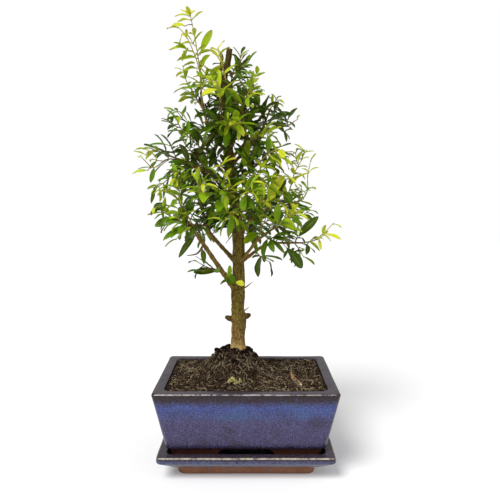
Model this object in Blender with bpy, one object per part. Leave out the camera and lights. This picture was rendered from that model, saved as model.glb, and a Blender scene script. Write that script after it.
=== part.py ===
"""A pomegranate bonsai in its glazed pot, standing on a saucer.

Metres, +Z up, +Y away from the viewer. The origin lies under the middle of the saucer, on the
surface that it stands on. The tree's wood is one solid and each leafy spray is another, with
its leaves in opposite pairs along the shoots."""

import math
import random

import bmesh
import bpy
from mathutils import Quaternion, Vector
from mathutils.bvhtree import BVHTree

MM = 0.001
CLEARANCE = 0.3 * MM

SAUCER_LENGTH = 193 * MM
SAUCER_WIDTH = 145 * MM
SAUCER_HEIGHT = 27 * MM
SAUCER_FLOOR = 12 * MM
SAUCER_LIP = 10.5 * MM
SAUCER_BASE_LENGTH = 152 * MM
SAUCER_BASE_WIDTH = 105 * MM

POT_LENGTH = 200 * MM
POT_WIDTH = 150 * MM
POT_BASE = SAUCER_FLOOR + CLEARANCE
POT_TOP = 97 * MM
POT_RIM = 12 * MM
POT_INNER_LENGTH = POT_LENGTH - 2 * POT_RIM
POT_INNER_WIDTH = POT_WIDTH - 2 * POT_RIM
HOLLOW_NARROWING = 22 * MM
GLAZE_END = 32 * MM
POT_FLOOR_UNDER = 31 * MM
POT_FLOOR = 38 * MM
POT_TAPER = 0.2
FOOT_INSET = 3 * MM
FRONT_ARCH = 63 * MM
SIDE_ARCH = 42 * MM
DRAIN_RADIUS = 7 * MM
DRAIN_SPACING = 84 * MM

SCREEN_SIDE = 26 * MM
SCREEN_THICKNESS = 1.2 * MM
SCREEN_HOLE = 3.6 * MM
SCREEN_PITCH = 6 * MM
SCREEN_HOLES = 3

SOIL_EDGE = 94.5 * MM
MOUND_HEIGHT = 31 * MM
MOUND_REACH = 40 * MM
MOUND_STEEPNESS = 2.5

TRUNK_X = -10 * MM
TRUNK_Y = 8 * MM
STUMP_BOTTOM = 82 * MM
STUMP_RADIUS = 12 * MM

PAIR_GAP = 19 * MM
PAIR_START = 8 * MM
FIRST_SHOOT = 14 * MM
LAST_SHOOT = 8 * MM
SHOOT_GAP = 40 * MM
LEAF_THICKNESS = 0.9 * MM
PETIOLE_HALF = 0.5 * MM
LONG_LEAF = 27 * MM
# Radii of the twigs, in millimetres: where they start, at the tip, and of the space kept for them.
TWIG_START = 1.1
SHOOT_START = 0.8
TWIG_TIP = 0.6
TWIG_SPACE = 1.3

# How far the dry leaf's tip lies above the soil, and the angle in radians that it curls through.
DRY_LEAF_GAP = 0.8 * MM
DRY_LEAF_CURL = 0.9

LIMB_STEP = 20 * MM
TWIG_STEP = 16 * MM
GOLDEN_ANGLE = math.radians(137.5)
UP = Vector((0, 0, 1))

# Each point is (x, y, z, radius), in millimetres, from the stump up to the old pruning cut.
TRUNK = [
    (-10, 8, 82, 11.0), (-10, 8, 106, 12.0), (-10, 8, 118, 11.6), (-10, 8, 124, 9.8),
    (-10, 8, 132, 8.2), (-10, 8, 144, 7.8), (-9, 8, 153, 8.4), (-9, 8, 161, 9.0),
    (-10, 7, 170, 7.7), (-10, 7, 181, 7.3), (-10, 6, 191, 8.0), (-10, 6, 200, 8.4),
    (-9, 5, 210, 7.1), (-9, 5, 222, 6.7), (-9, 4, 236, 7.0), (-9, 4, 250, 7.2),
    (-10, 4, 264, 6.5), (-11, 3, 279, 6.2), (-13, 2, 295, 5.8), (-16, 2, 314, 5.4),
    (-18, 2, 334, 5.3), (-20, 3, 356, 5.4), (-20, 4, 378, 5.8), (-21, 5, 393, 5.5),
]
LEADER = [
    (-21, 5, 378, 3.4), (-24, 6, 405, 3.6), (-26, 7, 422, 3.4), (-24, 8, 440, 3.2),
    (-21, 8, 456, 3.5), (-19, 8, 470, 3.4),
]
# Short cut wood, side leader and spines, as (x, y, z, radius) too.
STUBS = {
    "left stub": [(-10, 8, 159, 3.6), (-18, 7, 160, 3.4), (-25, 6, 161, 3.2)],
    "right stub": [(-9, 8, 160, 3.6), (-2, 7, 162, 3.2), (5, 6, 163, 2.9)],
    "side leader": [(-25, 7, 424, 2.6), (-29, 7, 437, 2.2), (-28, 8, 462, 1.5)],
    "low spine": [(-6, 5, 169, 1.1), (-2, 4, 171, 0.8), (3, 3, 175, 0.3)],
    "middle spine": [(-6, 4, 196, 1.2), (0, 3, 199, 0.8), (7, 1, 205, 0.3)],
    "bare twig": [(-23, 8, 412, 1.6), (-4, 11, 421, 1.1), (13, 14, 433, 0.4)],
    "dead twig": [(-48, -17, 249, 1.4), (-55, -20, 240, 0.9), (-66, -24, 238, 0.4)],
}
# The limbs: the radius at each end, and the route of the middle line, in millimetres.
LIMBS = {
    "low_left": (
        3.4, 1.8, [(-10, 5, 190), (-28, -3, 218), (-38, -10, 234), (-46, -16, 247), (-64, -28, 276)],
    ),
    "rear_left": (
        3.0, 1.6, [(-9, 5, 224), (-32, 14, 248), (-45, 24, 263), (-52, 32, 283), (-58, 38, 300)],
    ),
    "mid_left": (2.8, 1.3, [(-15, 2, 312), (-41, -2, 329), (-70, -10, 343), (-94, -14, 352)]),
    "high_left": (
        2.8, 1.5, [(-20, 3, 353), (-34, 10, 368), (-44, 16, 385), (-50, 20, 406), (-53, 22, 425)],
    ),
    "low_right": (2.8, 1.6, [(-9, 4, 226), (4, -6, 243), (12, -14, 254), (32, -30, 270)]),
    "far_right": (2.8, 1.3, [(-9, 5, 226), (2, 12, 233), (18, 20, 244), (34, 26, 248), (68, 33, 248)]),
    "mid_right": (3.0, 1.5, [(-10, 3, 259), (8, 8, 279), (22, 14, 288), (40, 18, 292), (54, 20, 296)]),
    "front_right": (2.2, 1.3, [(-16, 2, 314), (1, -10, 329), (17, -28, 343)]),
    "high_right": (
        2.8, 1.4, [(-19, 2, 338), (-2, 8, 355), (18, 18, 381), (24, 22, 396), (28, 24, 406)],
    ),
    "outer_right": (1.6, 1.1, [(18, 18, 381), (31, 22, 383), (51, 28, 388)]),
    "high_front": (2.4, 1.3, [(-19, 2, 345), (-1, -8, 367), (-4, -16, 391), (-21, -22, 427)]),
    "rear_low": (2.8, 1.5, [(-9, 4, 254), (1, 28, 271), (10, 50, 286), (18, 68, 300)]),
    "rear_mid": (2.6, 1.4, [(-13, 2, 294), (-26, 26, 309), (-48, 66, 337)]),
    "rear_high": (2.2, 1.3, [(-20, 3, 351), (-15, 22, 370), (-7, 52, 408)]),
    "front_low": (2.4, 1.3, [(-11, 3, 270), (-7, -20, 281), (0, -58, 302)]),
    "front_mid": (2.2, 1.3, [(-13, 2, 286), (-21, -20, 290), (-40, -58, 304)]),
    "front_high": (2.2, 1.2, [(-20, 4, 365), (-25, -16, 377), (-27, -42, 403)]),
}
# The sprays: the wood that each grows from, how far along it, and its route from there, in
# millimetres, then the length of its full-grown leaves.
SPRAYS = {
    "left_outer": ("low_left", 1.00, [(-69, -32, 291), (-77, -36, 305), (-86, -38, 316)], 30),
    "left_upright": ("low_left", 0.80, [(-58, -34, 272), (-70, -44, 302), (-72, -50, 331)], 28),
    "left_lowest": ("low_left", 0.30, [(-39, -16, 223), (-48, -24, 221)], 34),
    "left_far": ("low_left", 0.92, [(-77, -30, 279), (-89, -34, 286), (-96, -38, 293)], 30),
    "left_inner": ("rear_left", 1.00, [(-61, 42, 312), (-68, 46, 329), (-69, 48, 341)], 30),
    "left_hanging": ("rear_left", 0.60, [(-64, 30, 269), (-77, 36, 262), (-86, 40, 252)], 30),
    "left_rear": ("rear_left", 0.35, [(-48, 34, 266), (-58, 50, 262), (-64, 62, 262)], 30),
    "left_tip": ("mid_left", 1.00, [(-102, -16, 355), (-111, -18, 349)], 24),
    "left_arching": (
        "mid_left", 0.78, [(-88, -20, 344), (-101, -26, 335), (-110, -28, 342), (-115, -30, 348)], 26,
    ),
    "left_middle": ("mid_left", 0.55, [(-76, -18, 333), (-89, -24, 320), (-101, -28, 311)], 28),
    "left_centre": ("mid_left", 0.35, [(-61, -6, 353), (-70, -4, 364), (-73, -4, 376)], 26),
    "top_tall": (
        "high_left", 1.00, [(-53, 22, 446), (-56, 20, 465), (-59, 18, 485), (-65, 14, 504)], 26,
    ),
    "top_second": (
        "high_left", 0.85, [(-54, 12, 449), (-60, 8, 467), (-67, 4, 482), (-76, 0, 492)], 24,
    ),
    "top_left": ("high_left", 0.70, [(-63, 26, 426), (-71, 30, 440), (-75, 32, 457)], 26),
    "upper_left": ("high_left", 0.40, [(-56, 20, 383), (-71, 26, 391), (-82, 30, 404)], 30),
    "upper_left_low": (
        "high_left", 0.18, [(-46, -2, 356), (-60, -14, 366), (-70, -22, 376), (-76, -26, 387)], 28,
    ),
    "right_inner": ("low_right", 1.00, [(40, -36, 278), (47, -42, 285), (54, -46, 287)], 30),
    "right_front": ("low_right", 0.60, [(17, -26, 271), (17, -36, 287), (14, -42, 299)], 32),
    "right_hanging": ("far_right", 0.88, [(64, 38, 240), (70, 42, 230)], 30),
    "right_far": ("far_right", 1.00, [(82, 34, 251), (94, 34, 260), (105, 33, 272)], 22),
    "right_rear": ("far_right", 0.60, [(43, 36, 259), (52, 48, 270), (63, 58, 272)], 30),
    "right_low_inner": ("far_right", 0.30, [(19, 26, 230), (29, 38, 224)], 30),
    "right_tall": ("mid_right", 1.00, [(66, 22, 301), (72, 22, 311), (72, 20, 328), (75, 16, 346)], 22),
    "right_spray": (
        "mid_right", 0.85, [(51, 26, 311), (57, 30, 331), (65, 32, 346), (70, 34, 359)], 26,
    ),
    "right_outer": ("mid_right", 0.72, [(48, 26, 283), (64, 30, 281), (78, 34, 288)], 30),
    "right_middle": ("mid_right", 0.40, [(25, 4, 304), (35, 0, 316), (44, -4, 328)], 34),
    "centre_right": ("front_right", 1.00, [(26, -32, 351), (36, -36, 354)], 32),
    "centre_front": ("front_right", 0.55, [(13, -30, 326), (21, -42, 317), (25, -50, 310)], 34),
    "high_right_tip": ("high_right", 1.00, [(32, 26, 412), (36, 26, 418)], 20),
    "high_right_upright": ("high_right", 0.75, [(18, 28, 407), (9, 32, 421), (4, 34, 436)], 30),
    "high_right_low": ("high_right", 0.35, [(18, 18, 361), (29, 26, 359), (40, 32, 352)], 32),
    "outer_right_tip": ("outer_right", 1.00, [(56, 30, 392), (61, 31, 395)], 22),
    "front_top": ("high_front", 1.00, [(-25, -22, 440), (-28, -22, 453), (-31, -22, 463)], 28),
    "front_top_right": ("high_front", 0.62, [(-2, -24, 404), (4, -26, 418), (11, -26, 435)], 28),
    "front_upper": ("high_front", 0.35, [(6, -16, 366), (17, -24, 371), (26, -30, 371)], 32),
    "crown_right": ("trunk", 0.93, [(-9, 12, 446), (3, 16, 458)], 26),
    "crown_rear": ("trunk", 0.86, [(-17, 24, 437), (-10, 34, 452)], 28),
    "crown_left": ("trunk", 0.84, [(-36, -2, 424), (-42, -8, 438)], 28),
    "rear_low_tip": ("rear_low", 1.00, [(22, 80, 312), (27, 88, 323)], 30),
    "rear_low_right": ("rear_low", 0.75, [(32, 62, 295), (47, 66, 302)], 30),
    "rear_mid_tip": ("rear_mid", 1.00, [(-57, 78, 348), (-68, 86, 356)], 30),
    "rear_mid_side": ("rear_mid", 0.60, [(-18, 54, 327), (-6, 64, 339)], 30),
    "rear_high_tip": ("rear_high", 1.00, [(-3, 62, 420), (2, 68, 433)], 28),
    "rear_high_left": ("rear_high", 0.50, [(-30, 44, 386), (-42, 54, 402)], 30),
    "front_low_tip": ("front_low", 1.00, [(2, -70, 310), (7, -80, 318)], 28),
    "front_low_left": ("front_low", 0.60, [(-15, -44, 285), (-25, -54, 277)], 34),
    "front_mid_tip": ("front_mid", 1.00, [(-46, -70, 310), (-49, -80, 318)], 30),
    "front_mid_up": ("front_mid", 0.50, [(-25, -34, 306), (-23, -46, 324), (-26, -52, 337)], 32),
    "front_high_tip": ("front_high", 1.00, [(-28, -50, 414), (-33, -56, 423)], 28),
    "front_high_right": ("front_high", 0.50, [(-15, -38, 378), (-6, -50, 381)], 32),
    "trunk_low": ("trunk", 0.31, [(-19, -5, 211), (-23, -9, 217)], 20),
}


def clear_scene():
    for obj in list(bpy.data.objects):
        bpy.data.objects.remove(obj)


def new_collection(name):
    collection = bpy.data.collections.new(name)
    bpy.context.scene.collection.children.link(collection)
    return collection


def material(name, colour, roughness):
    made = bpy.data.materials.new(name)
    made.use_nodes = True
    shader = made.node_tree.nodes["Principled BSDF"]
    shader.inputs["Base Color"].default_value = (*colour, 1)
    shader.inputs["Roughness"].default_value = roughness
    shader.inputs["Metallic"].default_value = 0
    return made


def mesh_object(name, mesh, collection, look=None):
    obj = bpy.data.objects.new(name, mesh)
    collection.objects.link(obj)
    if look:
        mesh.materials.clear()
        mesh.materials.append(look)
    return obj


def cutter(name, mesh, collection):
    obj = mesh_object(name, mesh, collection)
    obj.hide_render = True
    obj.display_type = "WIRE"
    return obj


def cut(obj, cutters):
    modifier = obj.modifiers.new("cuts", "BOOLEAN")
    modifier.operation = "DIFFERENCE"
    modifier.operand_type = "COLLECTION"
    modifier.collection = cutters


def finished_mesh(bm, name):
    bmesh.ops.recalc_face_normals(bm, faces=bm.faces)
    mesh = bpy.data.meshes.new(name)
    bm.to_mesh(mesh)
    bm.free()
    return mesh


def lofted(name, rings):
    """A closed mesh through rings of points. A ring of one point is a tip."""
    bm = bmesh.new()
    rows = [[bm.verts.new(point) for point in ring] for ring in rings]
    for lower, upper in zip(rows, rows[1:]):
        count = max(len(lower), len(upper))
        for i in range(count):
            j = (i + 1) % count
            if len(upper) == 1:
                bm.faces.new([lower[i], lower[j], upper[0]])
            else:
                bm.faces.new([lower[i], lower[j], upper[j], upper[i]])
    for end in (rows[0], rows[-1]):
        if len(end) > 2:
            bm.faces.new(end)
    return finished_mesh(bm, name)


def rounded_outline(height, length, width, corner, steps=3):
    """Points round a rectangle with round corners, at one height."""
    points = []
    for quarter in range(4):
        side_x = 1 if quarter in (0, 3) else -1
        side_y = 1 if quarter in (0, 1) else -1
        for step in range(steps + 1):
            angle = math.radians(90) * (quarter + step / steps)
            x = side_x * (length / 2 - corner) + corner * math.cos(angle)
            y = side_y * (width / 2 - corner) + corner * math.sin(angle)
            points.append(Vector((x, y, height)))
    return points


def with_points_between(points, gap):
    """The closed outline with points added, so that none lie further apart than the gap."""
    filled = []
    for start, end in zip(points, points[1:] + points[:1]):
        steps = math.ceil((end - start).length / gap)
        filled += [start.lerp(end, step / steps) for step in range(steps)]
    return filled


def tapered_block(name, levels):
    """A block through levels of (height, length, width, corner radius), from the bottom up."""
    return lofted(name, [rounded_outline(*level) for level in levels])


def box_mesh(name, size, centre):
    bm = bmesh.new()
    bmesh.ops.create_cube(bm, size=1)
    bmesh.ops.scale(bm, vec=size, verts=bm.verts)
    bmesh.ops.translate(bm, vec=centre, verts=bm.verts)
    return finished_mesh(bm, name)


def cylinder_mesh(name, radius, bottom, top, centre, sides=24):
    bm = bmesh.new()
    bmesh.ops.create_cone(
        bm, cap_ends=True, segments=sides, radius1=radius, radius2=radius, depth=top - bottom
    )
    bmesh.ops.translate(bm, vec=(centre[0], centre[1], (bottom + top) / 2), verts=bm.verts)
    return finished_mesh(bm, name)


def make_saucer(parts, cutters_of):
    """Glazed clay tray with a broad lip, on a smaller bare clay base."""
    levels = [
        (0, SAUCER_BASE_LENGTH - 2 * MM, SAUCER_BASE_WIDTH - 2 * MM, 9 * MM),
        (1 * MM, SAUCER_BASE_LENGTH, SAUCER_BASE_WIDTH, 10 * MM),
        (8 * MM, SAUCER_BASE_LENGTH, SAUCER_BASE_WIDTH, 10 * MM),
        (9 * MM, SAUCER_BASE_LENGTH + 7 * MM, SAUCER_BASE_WIDTH + 7 * MM, 10 * MM),
        (12 * MM, SAUCER_LENGTH - 22 * MM, SAUCER_WIDTH - 22 * MM, 9 * MM),
        (20 * MM, SAUCER_LENGTH, SAUCER_WIDTH, 6 * MM),
        (SAUCER_HEIGHT - 1.2 * MM, SAUCER_LENGTH, SAUCER_WIDTH, 6 * MM),
        (SAUCER_HEIGHT, SAUCER_LENGTH - 3 * MM, SAUCER_WIDTH - 3 * MM, 5 * MM),
    ]
    inner_length = SAUCER_LENGTH - 2 * SAUCER_LIP
    inner_width = SAUCER_WIDTH - 2 * SAUCER_LIP
    hollow = [
        (SAUCER_FLOOR, inner_length - 9 * MM, inner_width - 10 * MM, 6 * MM),
        (SAUCER_HEIGHT + 1 * MM, inner_length, inner_width, 5 * MM),
    ]
    look = material("saucer glaze", (0.10, 0.08, 0.12), 0.3)
    saucer = mesh_object("saucer", tapered_block("saucer", levels), parts, look)
    inside = cutters_of("saucer cutters")
    cutter("saucer hollow", tapered_block("saucer hollow", hollow), inside)
    cut(saucer, inside)


def pot_size_at(height):
    """The glazed wall's outer length and width at a height."""
    inset = 2 * POT_TAPER * (POT_TOP - height)
    return POT_LENGTH - inset, POT_WIDTH - inset


def arch_mesh(name, size, centre, axis):
    """A block whose two upper edges along the axis are rounded, to cut a gap between two feet."""
    bm = bmesh.new()
    bmesh.ops.create_cube(bm, size=1)
    bmesh.ops.scale(bm, vec=size, verts=bm.verts)
    upper = [
        edge for edge in bm.edges
        if all(vertex.co.z > 0 for vertex in edge.verts)
        and abs((edge.verts[0].co - edge.verts[1].co)[axis]) > 0.01
    ]
    bmesh.ops.bevel(bm, geom=upper, offset=9 * MM, segments=4, profile=0.5, affect="EDGES")
    bmesh.ops.translate(bm, vec=centre, verts=bm.verts)
    return finished_mesh(bm, name)


def make_pot(parts, cutters_of):
    """Glazed pot with a broad rim. Below the glaze, bare clay ends in four corner feet."""
    edge_length, edge_width = pot_size_at(POT_TOP - 2.5 * MM)
    glaze_length, glaze_width = pot_size_at(GLAZE_END)
    foot_length, foot_width = pot_size_at(POT_BASE)
    levels = [
        (POT_BASE, foot_length - 2 * FOOT_INSET, foot_width - 2 * FOOT_INSET, 8 * MM),
        (GLAZE_END - 1 * MM, glaze_length - 2 * FOOT_INSET, glaze_width - 2 * FOOT_INSET, 8 * MM),
        (GLAZE_END, glaze_length, glaze_width, 7 * MM),
        (POT_TOP - 2.5 * MM, edge_length, edge_width, 5 * MM),
        (POT_TOP - 1.5 * MM, edge_length - 2 * MM, edge_width - 2 * MM, 5 * MM),
        (POT_TOP, POT_INNER_LENGTH + 2 * MM, POT_INNER_WIDTH + 2 * MM, 5 * MM),
    ]
    look = material("pot glaze", (0.08, 0.07, 0.16), 0.25)
    pot = mesh_object("pot", tapered_block("pot", levels), parts, look)
    inside = cutters_of("pot cutters")
    hollow = [
        (POT_FLOOR, POT_INNER_LENGTH - HOLLOW_NARROWING, POT_INNER_WIDTH - HOLLOW_NARROWING, 4 * MM),
        (POT_TOP + 1 * MM, POT_INNER_LENGTH, POT_INNER_WIDTH, 5 * MM),
    ]
    recess = [
        (POT_BASE - 1 * MM, foot_length - 30 * MM, foot_width - 30 * MM, 8 * MM),
        (POT_FLOOR_UNDER, foot_length - 26 * MM, foot_width - 26 * MM, 8 * MM),
    ]
    cutter("pot hollow", tapered_block("pot hollow", hollow), inside)
    cutter("pot recess", tapered_block("pot recess", recess), inside)
    arch_height = 2 * (POT_FLOOR_UNDER - POT_BASE)
    front = arch_mesh("front arch", (FRONT_ARCH, POT_WIDTH, arch_height), (0, 0, POT_BASE), 1)
    side = arch_mesh("side arch", (POT_LENGTH, SIDE_ARCH, arch_height), (0, 0, POT_BASE), 0)
    cutter("front arch", front, inside)
    cutter("side arch", side, inside)
    for side_x in (-1, 1):
        centre = (side_x * DRAIN_SPACING / 2, 0)
        hole = cylinder_mesh("drain hole", DRAIN_RADIUS, POT_FLOOR_UNDER - MM, POT_FLOOR + MM, centre)
        cutter("drain hole", hole, inside)
    cut(pot, inside)


def make_drain_screens(parts, cutters_of):
    """Plastic mesh squares that lie over the drain holes, under the soil."""
    look = material("screen plastic", (0.02, 0.05, 0.03), 0.6)
    bottom = POT_FLOOR + CLEARANCE
    middle = bottom + SCREEN_THICKNESS / 2
    for side_name, side_x in (("left", -1), ("right", 1)):
        centre_x = side_x * DRAIN_SPACING / 2
        name = f"drain_screen_{side_name}"
        plate = box_mesh(name, (SCREEN_SIDE, SCREEN_SIDE, SCREEN_THICKNESS), (centre_x, 0, middle))
        screen = mesh_object(name, plate, parts, look)
        holes = cutters_of(f"{name} cutters")
        size = (SCREEN_HOLE, SCREEN_HOLE, 3 * SCREEN_THICKNESS)
        for row in range(SCREEN_HOLES):
            for column in range(SCREEN_HOLES):
                x = centre_x + (column - (SCREEN_HOLES - 1) / 2) * SCREEN_PITCH
                y = (row - (SCREEN_HOLES - 1) / 2) * SCREEN_PITCH
                cutter("mesh hole", box_mesh("mesh hole", size, (x, y, middle)), holes)
        cut(screen, holes)


def soil_height(x, y):
    """The soil's surface: level at the wall and heaped round the trunk, with small lumps."""
    away = math.hypot(x - TRUNK_X, y - TRUNK_Y)
    mound = MOUND_HEIGHT * math.exp(-((away / MOUND_REACH) ** MOUND_STEEPNESS))
    lumps = math.sin(x / (7 * MM)) * math.cos(y / (6 * MM)) + 0.6 * math.sin((x + 2 * y) / (4 * MM))
    return SOIL_EDGE + mound + 0.8 * MM * lumps


def make_soil(parts, cutters_of):
    """Soil that fills the pot, heaped round the stump, which stands in a plain hole."""
    bottom = POT_FLOOR + CLEARANCE
    gap = 1.4 * MM
    share = (POT_TOP + MM - SOIL_EDGE) / (POT_TOP + MM - POT_FLOOR)
    edge_length = POT_INNER_LENGTH - HOLLOW_NARROWING * share - gap
    edge_width = POT_INNER_WIDTH - HOLLOW_NARROWING * share - gap
    edge_ring = rounded_outline(SOIL_EDGE - 3 * MM, edge_length, edge_width, 6 * MM)
    edge_ring = with_points_between(edge_ring, 26 * MM)
    shrink_x = (POT_INNER_LENGTH - HOLLOW_NARROWING - gap) / edge_length
    shrink_y = (POT_INNER_WIDTH - HOLLOW_NARROWING - gap) / edge_width
    bottom_ring = [Vector((point.x * shrink_x, point.y * shrink_y, bottom)) for point in edge_ring]
    hole_radius = STUMP_RADIUS + 2 * CLEARANCE
    hole_ring = []
    for i in range(len(edge_ring)):
        angle = 2 * math.pi * i / len(edge_ring)
        x = TRUNK_X + hole_radius * math.cos(angle)
        y = TRUNK_Y + hole_radius * math.sin(angle)
        hole_ring.append(Vector((x, y, STUMP_BOTTOM - CLEARANCE)))
    rings = [bottom_ring, edge_ring]
    steps = 5
    for step in range(steps + 1):
        ring = []
        for outer, inner in zip(edge_ring, hole_ring):
            x, y, _ = outer.lerp(inner, (step / steps) ** 0.8)
            ring.append(Vector((x, y, soil_height(x, y))))
        rings.append(ring)
    rings.append(hole_ring)
    look = material("soil", (0.05, 0.035, 0.025), 1.0)
    soil = mesh_object("soil", lofted("soil", rings), parts, look)
    pockets = cutters_of("soil cutters")
    side = SCREEN_SIDE + 2 * CLEARANCE
    top = POT_FLOOR + SCREEN_THICKNESS + 2 * CLEARANCE
    for side_x in (-1, 1):
        centre = (side_x * DRAIN_SPACING / 2, 0, POT_FLOOR)
        pocket = box_mesh("screen pocket", (side, side, 2 * (top - POT_FLOOR)), centre)
        cutter("screen pocket", pocket, pockets)
    cut(soil, pockets)


def millimetres(route):
    return [Vector(point[:3]) * MM for point in route]


def smooth_route(points, spacing):
    """Points at about the spacing on a smooth curve through the given ones."""
    padded = [2 * points[0] - points[1], *points, 2 * points[-1] - points[-2]]
    route = []
    for before, start, end, after in zip(padded, padded[1:], padded[2:], padded[3:]):
        steps = max(1, round((end - start).length / spacing))
        for step in range(steps):
            t = step / steps
            route.append(
                0.5 * (
                    2 * start
                    + (end - before) * t
                    + (2 * before - 5 * start + 4 * end - after) * t ** 2
                    + (3 * start - before - 3 * end + after) * t ** 3
                )
            )
    return route + [points[-1]]


def route_length(route):
    return sum((end - start).length for start, end in zip(route, route[1:]))


def along(route, distance):
    """The point and the direction at a distance along a route."""
    for start, end in zip(route, route[1:]):
        stretch = (end - start).length
        if distance <= stretch:
            return start.lerp(end, distance / stretch), (end - start).normalized()
        distance -= stretch
    return route[-1].copy(), (route[-1] - route[-2]).normalized()


def tapering(route, thick, thin):
    """A radius for each point of the route, in metres."""
    whole = route_length(route)
    radii = []
    gone = 0
    for i, point in enumerate(route):
        if i:
            gone += (point - route[i - 1]).length
        radii.append((thick + (thin - thick) * gone / whole) * MM)
    return radii


def tube_rings(route, radii, sides=4):
    """Rings of points round a route."""
    rings = []
    for i, (point, radius) in enumerate(zip(route, radii)):
        direction = (route[min(i + 1, len(route) - 1)] - route[max(i - 1, 0)]).normalized()
        across = direction.cross(Vector((0.3, 0.9, 0.2))).normalized()
        other = direction.cross(across)
        ring = []
        for side in range(sides):
            angle = 2 * math.pi * side / sides
            ring.append(point + radius * (math.cos(angle) * across + math.sin(angle) * other))
        rings.append(ring)
    return rings


def surface(rings):
    """A search tree of the shape through the rings, its middle and its reach."""
    points = [point for ring in rings for point in ring]
    faces = []
    first = 0
    for lower, upper in zip(rings, rings[1:]):
        count = len(lower)
        for i in range(count):
            j = (i + 1) % count
            above = [first + count + k % len(upper) for k in (j, i)]
            faces.append([first + i, first + j, above[0]])
            if len(upper) > 1:
                faces.append([first + i, *above])
        first += count
    faces.append(list(reversed(range(len(rings[0])))))
    if len(rings[-1]) > 1:
        faces.append(list(range(first, len(points))))
    middle = sum(points, Vector()) / len(points)
    reach = max((point - middle).length for point in points)
    return BVHTree.FromPolygons(points, faces), middle, reach


class Taken:
    """The space that wood and leaves already take."""

    def __init__(self):
        self.shapes = []

    def add(self, owner, rings):
        self.shapes.append((owner, *surface(rings)))

    def free(self, rings, ignored=()):
        tree, middle, reach = surface(rings)
        for owner, other, other_middle, other_reach in self.shapes:
            if owner in ignored or (middle - other_middle).length > reach + other_reach:
                continue
            if tree.overlap(other):
                return False
        return True

    def outside_wood(self, point):
        """How far the point lies from the nearest wood, or less than nothing inside it."""
        least = math.inf
        for owner, tree, middle, reach in self.shapes:
            if owner != "wood" or (point - middle).length > reach + least:
                continue
            nearest, normal, _, distance = tree.find_nearest(point)
            least = min(least, distance if (point - nearest).dot(normal) > 0 else -distance)
        return least


def branch_curve(name, route, radii, collection, rounding):
    """A branch as a curve with a radius at each point."""
    curve = bpy.data.curves.new(name, "CURVE")
    curve.dimensions = "3D"
    curve.bevel_depth = MM
    curve.bevel_resolution = rounding
    curve.use_fill_caps = True
    spline = curve.splines.new("POLY")
    spline.points.add(len(route) - 1)
    for place, point, radius in zip(spline.points, route, radii):
        place.co = (*point, 1)
        place.radius = radius / MM
    drawn = bpy.data.objects.new(name, curve)
    collection.objects.link(drawn)
    return drawn


def curves_to_meshes(collection):
    """Each curve of the collection becomes a mesh with welded ends, in the same order."""
    graph = bpy.context.evaluated_depsgraph_get()
    for drawn in [obj for obj in collection.objects if obj.type == "CURVE"]:
        mesh = bpy.data.meshes.new_from_object(drawn.evaluated_get(graph))
        bm = bmesh.new()
        bm.from_mesh(mesh)
        bmesh.ops.remove_doubles(bm, verts=bm.verts, dist=0.00001)
        bm.to_mesh(mesh)
        bm.free()
        solid = bpy.data.objects.new(drawn.name, mesh)
        solid.matrix_world = drawn.matrix_world
        collection.objects.link(solid)
        bpy.data.objects.remove(drawn)


def fuse(groups, parts):
    """One solid for each group: its collection's overlapping pieces joined, with their material."""
    for name, (collection, _) in groups.items():
        curves_to_meshes(collection)
        base = collection.objects[0]
        collection.objects.unlink(base)
        parts.objects.link(base)
        base.name = name
        modifier = base.modifiers.new("fuse", "BOOLEAN")
        modifier.operation = "UNION"
        modifier.operand_type = "COLLECTION"
        modifier.collection = collection
        modifier.solver = "MANIFOLD"
    graph = bpy.context.evaluated_depsgraph_get()
    for name, (collection, look) in groups.items():
        base = bpy.data.objects[name]
        mesh = bpy.data.meshes.new_from_object(base.evaluated_get(graph))
        base.modifiers.clear()
        base.data = mesh
        mesh.name = name
        mesh.materials.clear()
        mesh.materials.append(look)
        for piece in list(collection.objects):
            bpy.data.objects.remove(piece)
        bpy.data.collections.remove(collection)


def limb_routes():
    """Every limb's smooth route, with the trunk and its leader as one."""
    routes = {}
    for name, (_, _, points) in LIMBS.items():
        routes[name] = smooth_route(millimetres(points), LIMB_STEP)
    routes["trunk"] = millimetres(TRUNK[:-1] + LEADER[1:])
    return routes


def grow_wood(groups, taken):
    """Trunk, limbs, cut stubs, spines and dead twigs: the tree's bare wood."""
    pieces = new_collection("trunk pieces")
    wood = [("trunk", millimetres(TRUNK), [point[3] * MM for point in TRUNK], 3)]
    wood.append(("leader", millimetres(LEADER), [point[3] * MM for point in LEADER], 1))
    for name, points in STUBS.items():
        wood.append((name, millimetres(points), [point[3] * MM for point in points], 1))
    routes = limb_routes()
    for name, (thick, thin, _) in LIMBS.items():
        wood.append((name, routes[name], tapering(routes[name], thick, thin), 1))
    for name, route, radii, rounding in wood:
        branch_curve(name, route, radii, pieces, rounding)
        taken.add("wood", tube_rings(route, [radius + CLEARANCE for radius in radii], 8))
    groups["trunk"] = (pieces, material("bark", (0.16, 0.11, 0.06), 0.85))


def start_clear(route, radius, taken):
    """The route without its stretch inside the wood that it grows from."""
    distance = 0
    clear = False
    while distance < 16 * MM and not clear:
        distance += 0.1 * MM
        point, direction = along(route, distance)
        ring = tube_rings([point, point + direction], [radius, radius])[0]
        clear = all(taken.outside_wood(corner) > CLEARANCE for corner in [point, *ring])
    gone = 0
    kept = [point]
    for start, end in zip(route, route[1:]):
        gone += (end - start).length
        if gone > distance + 2 * MM:
            kept.append(end)
    return kept


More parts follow.
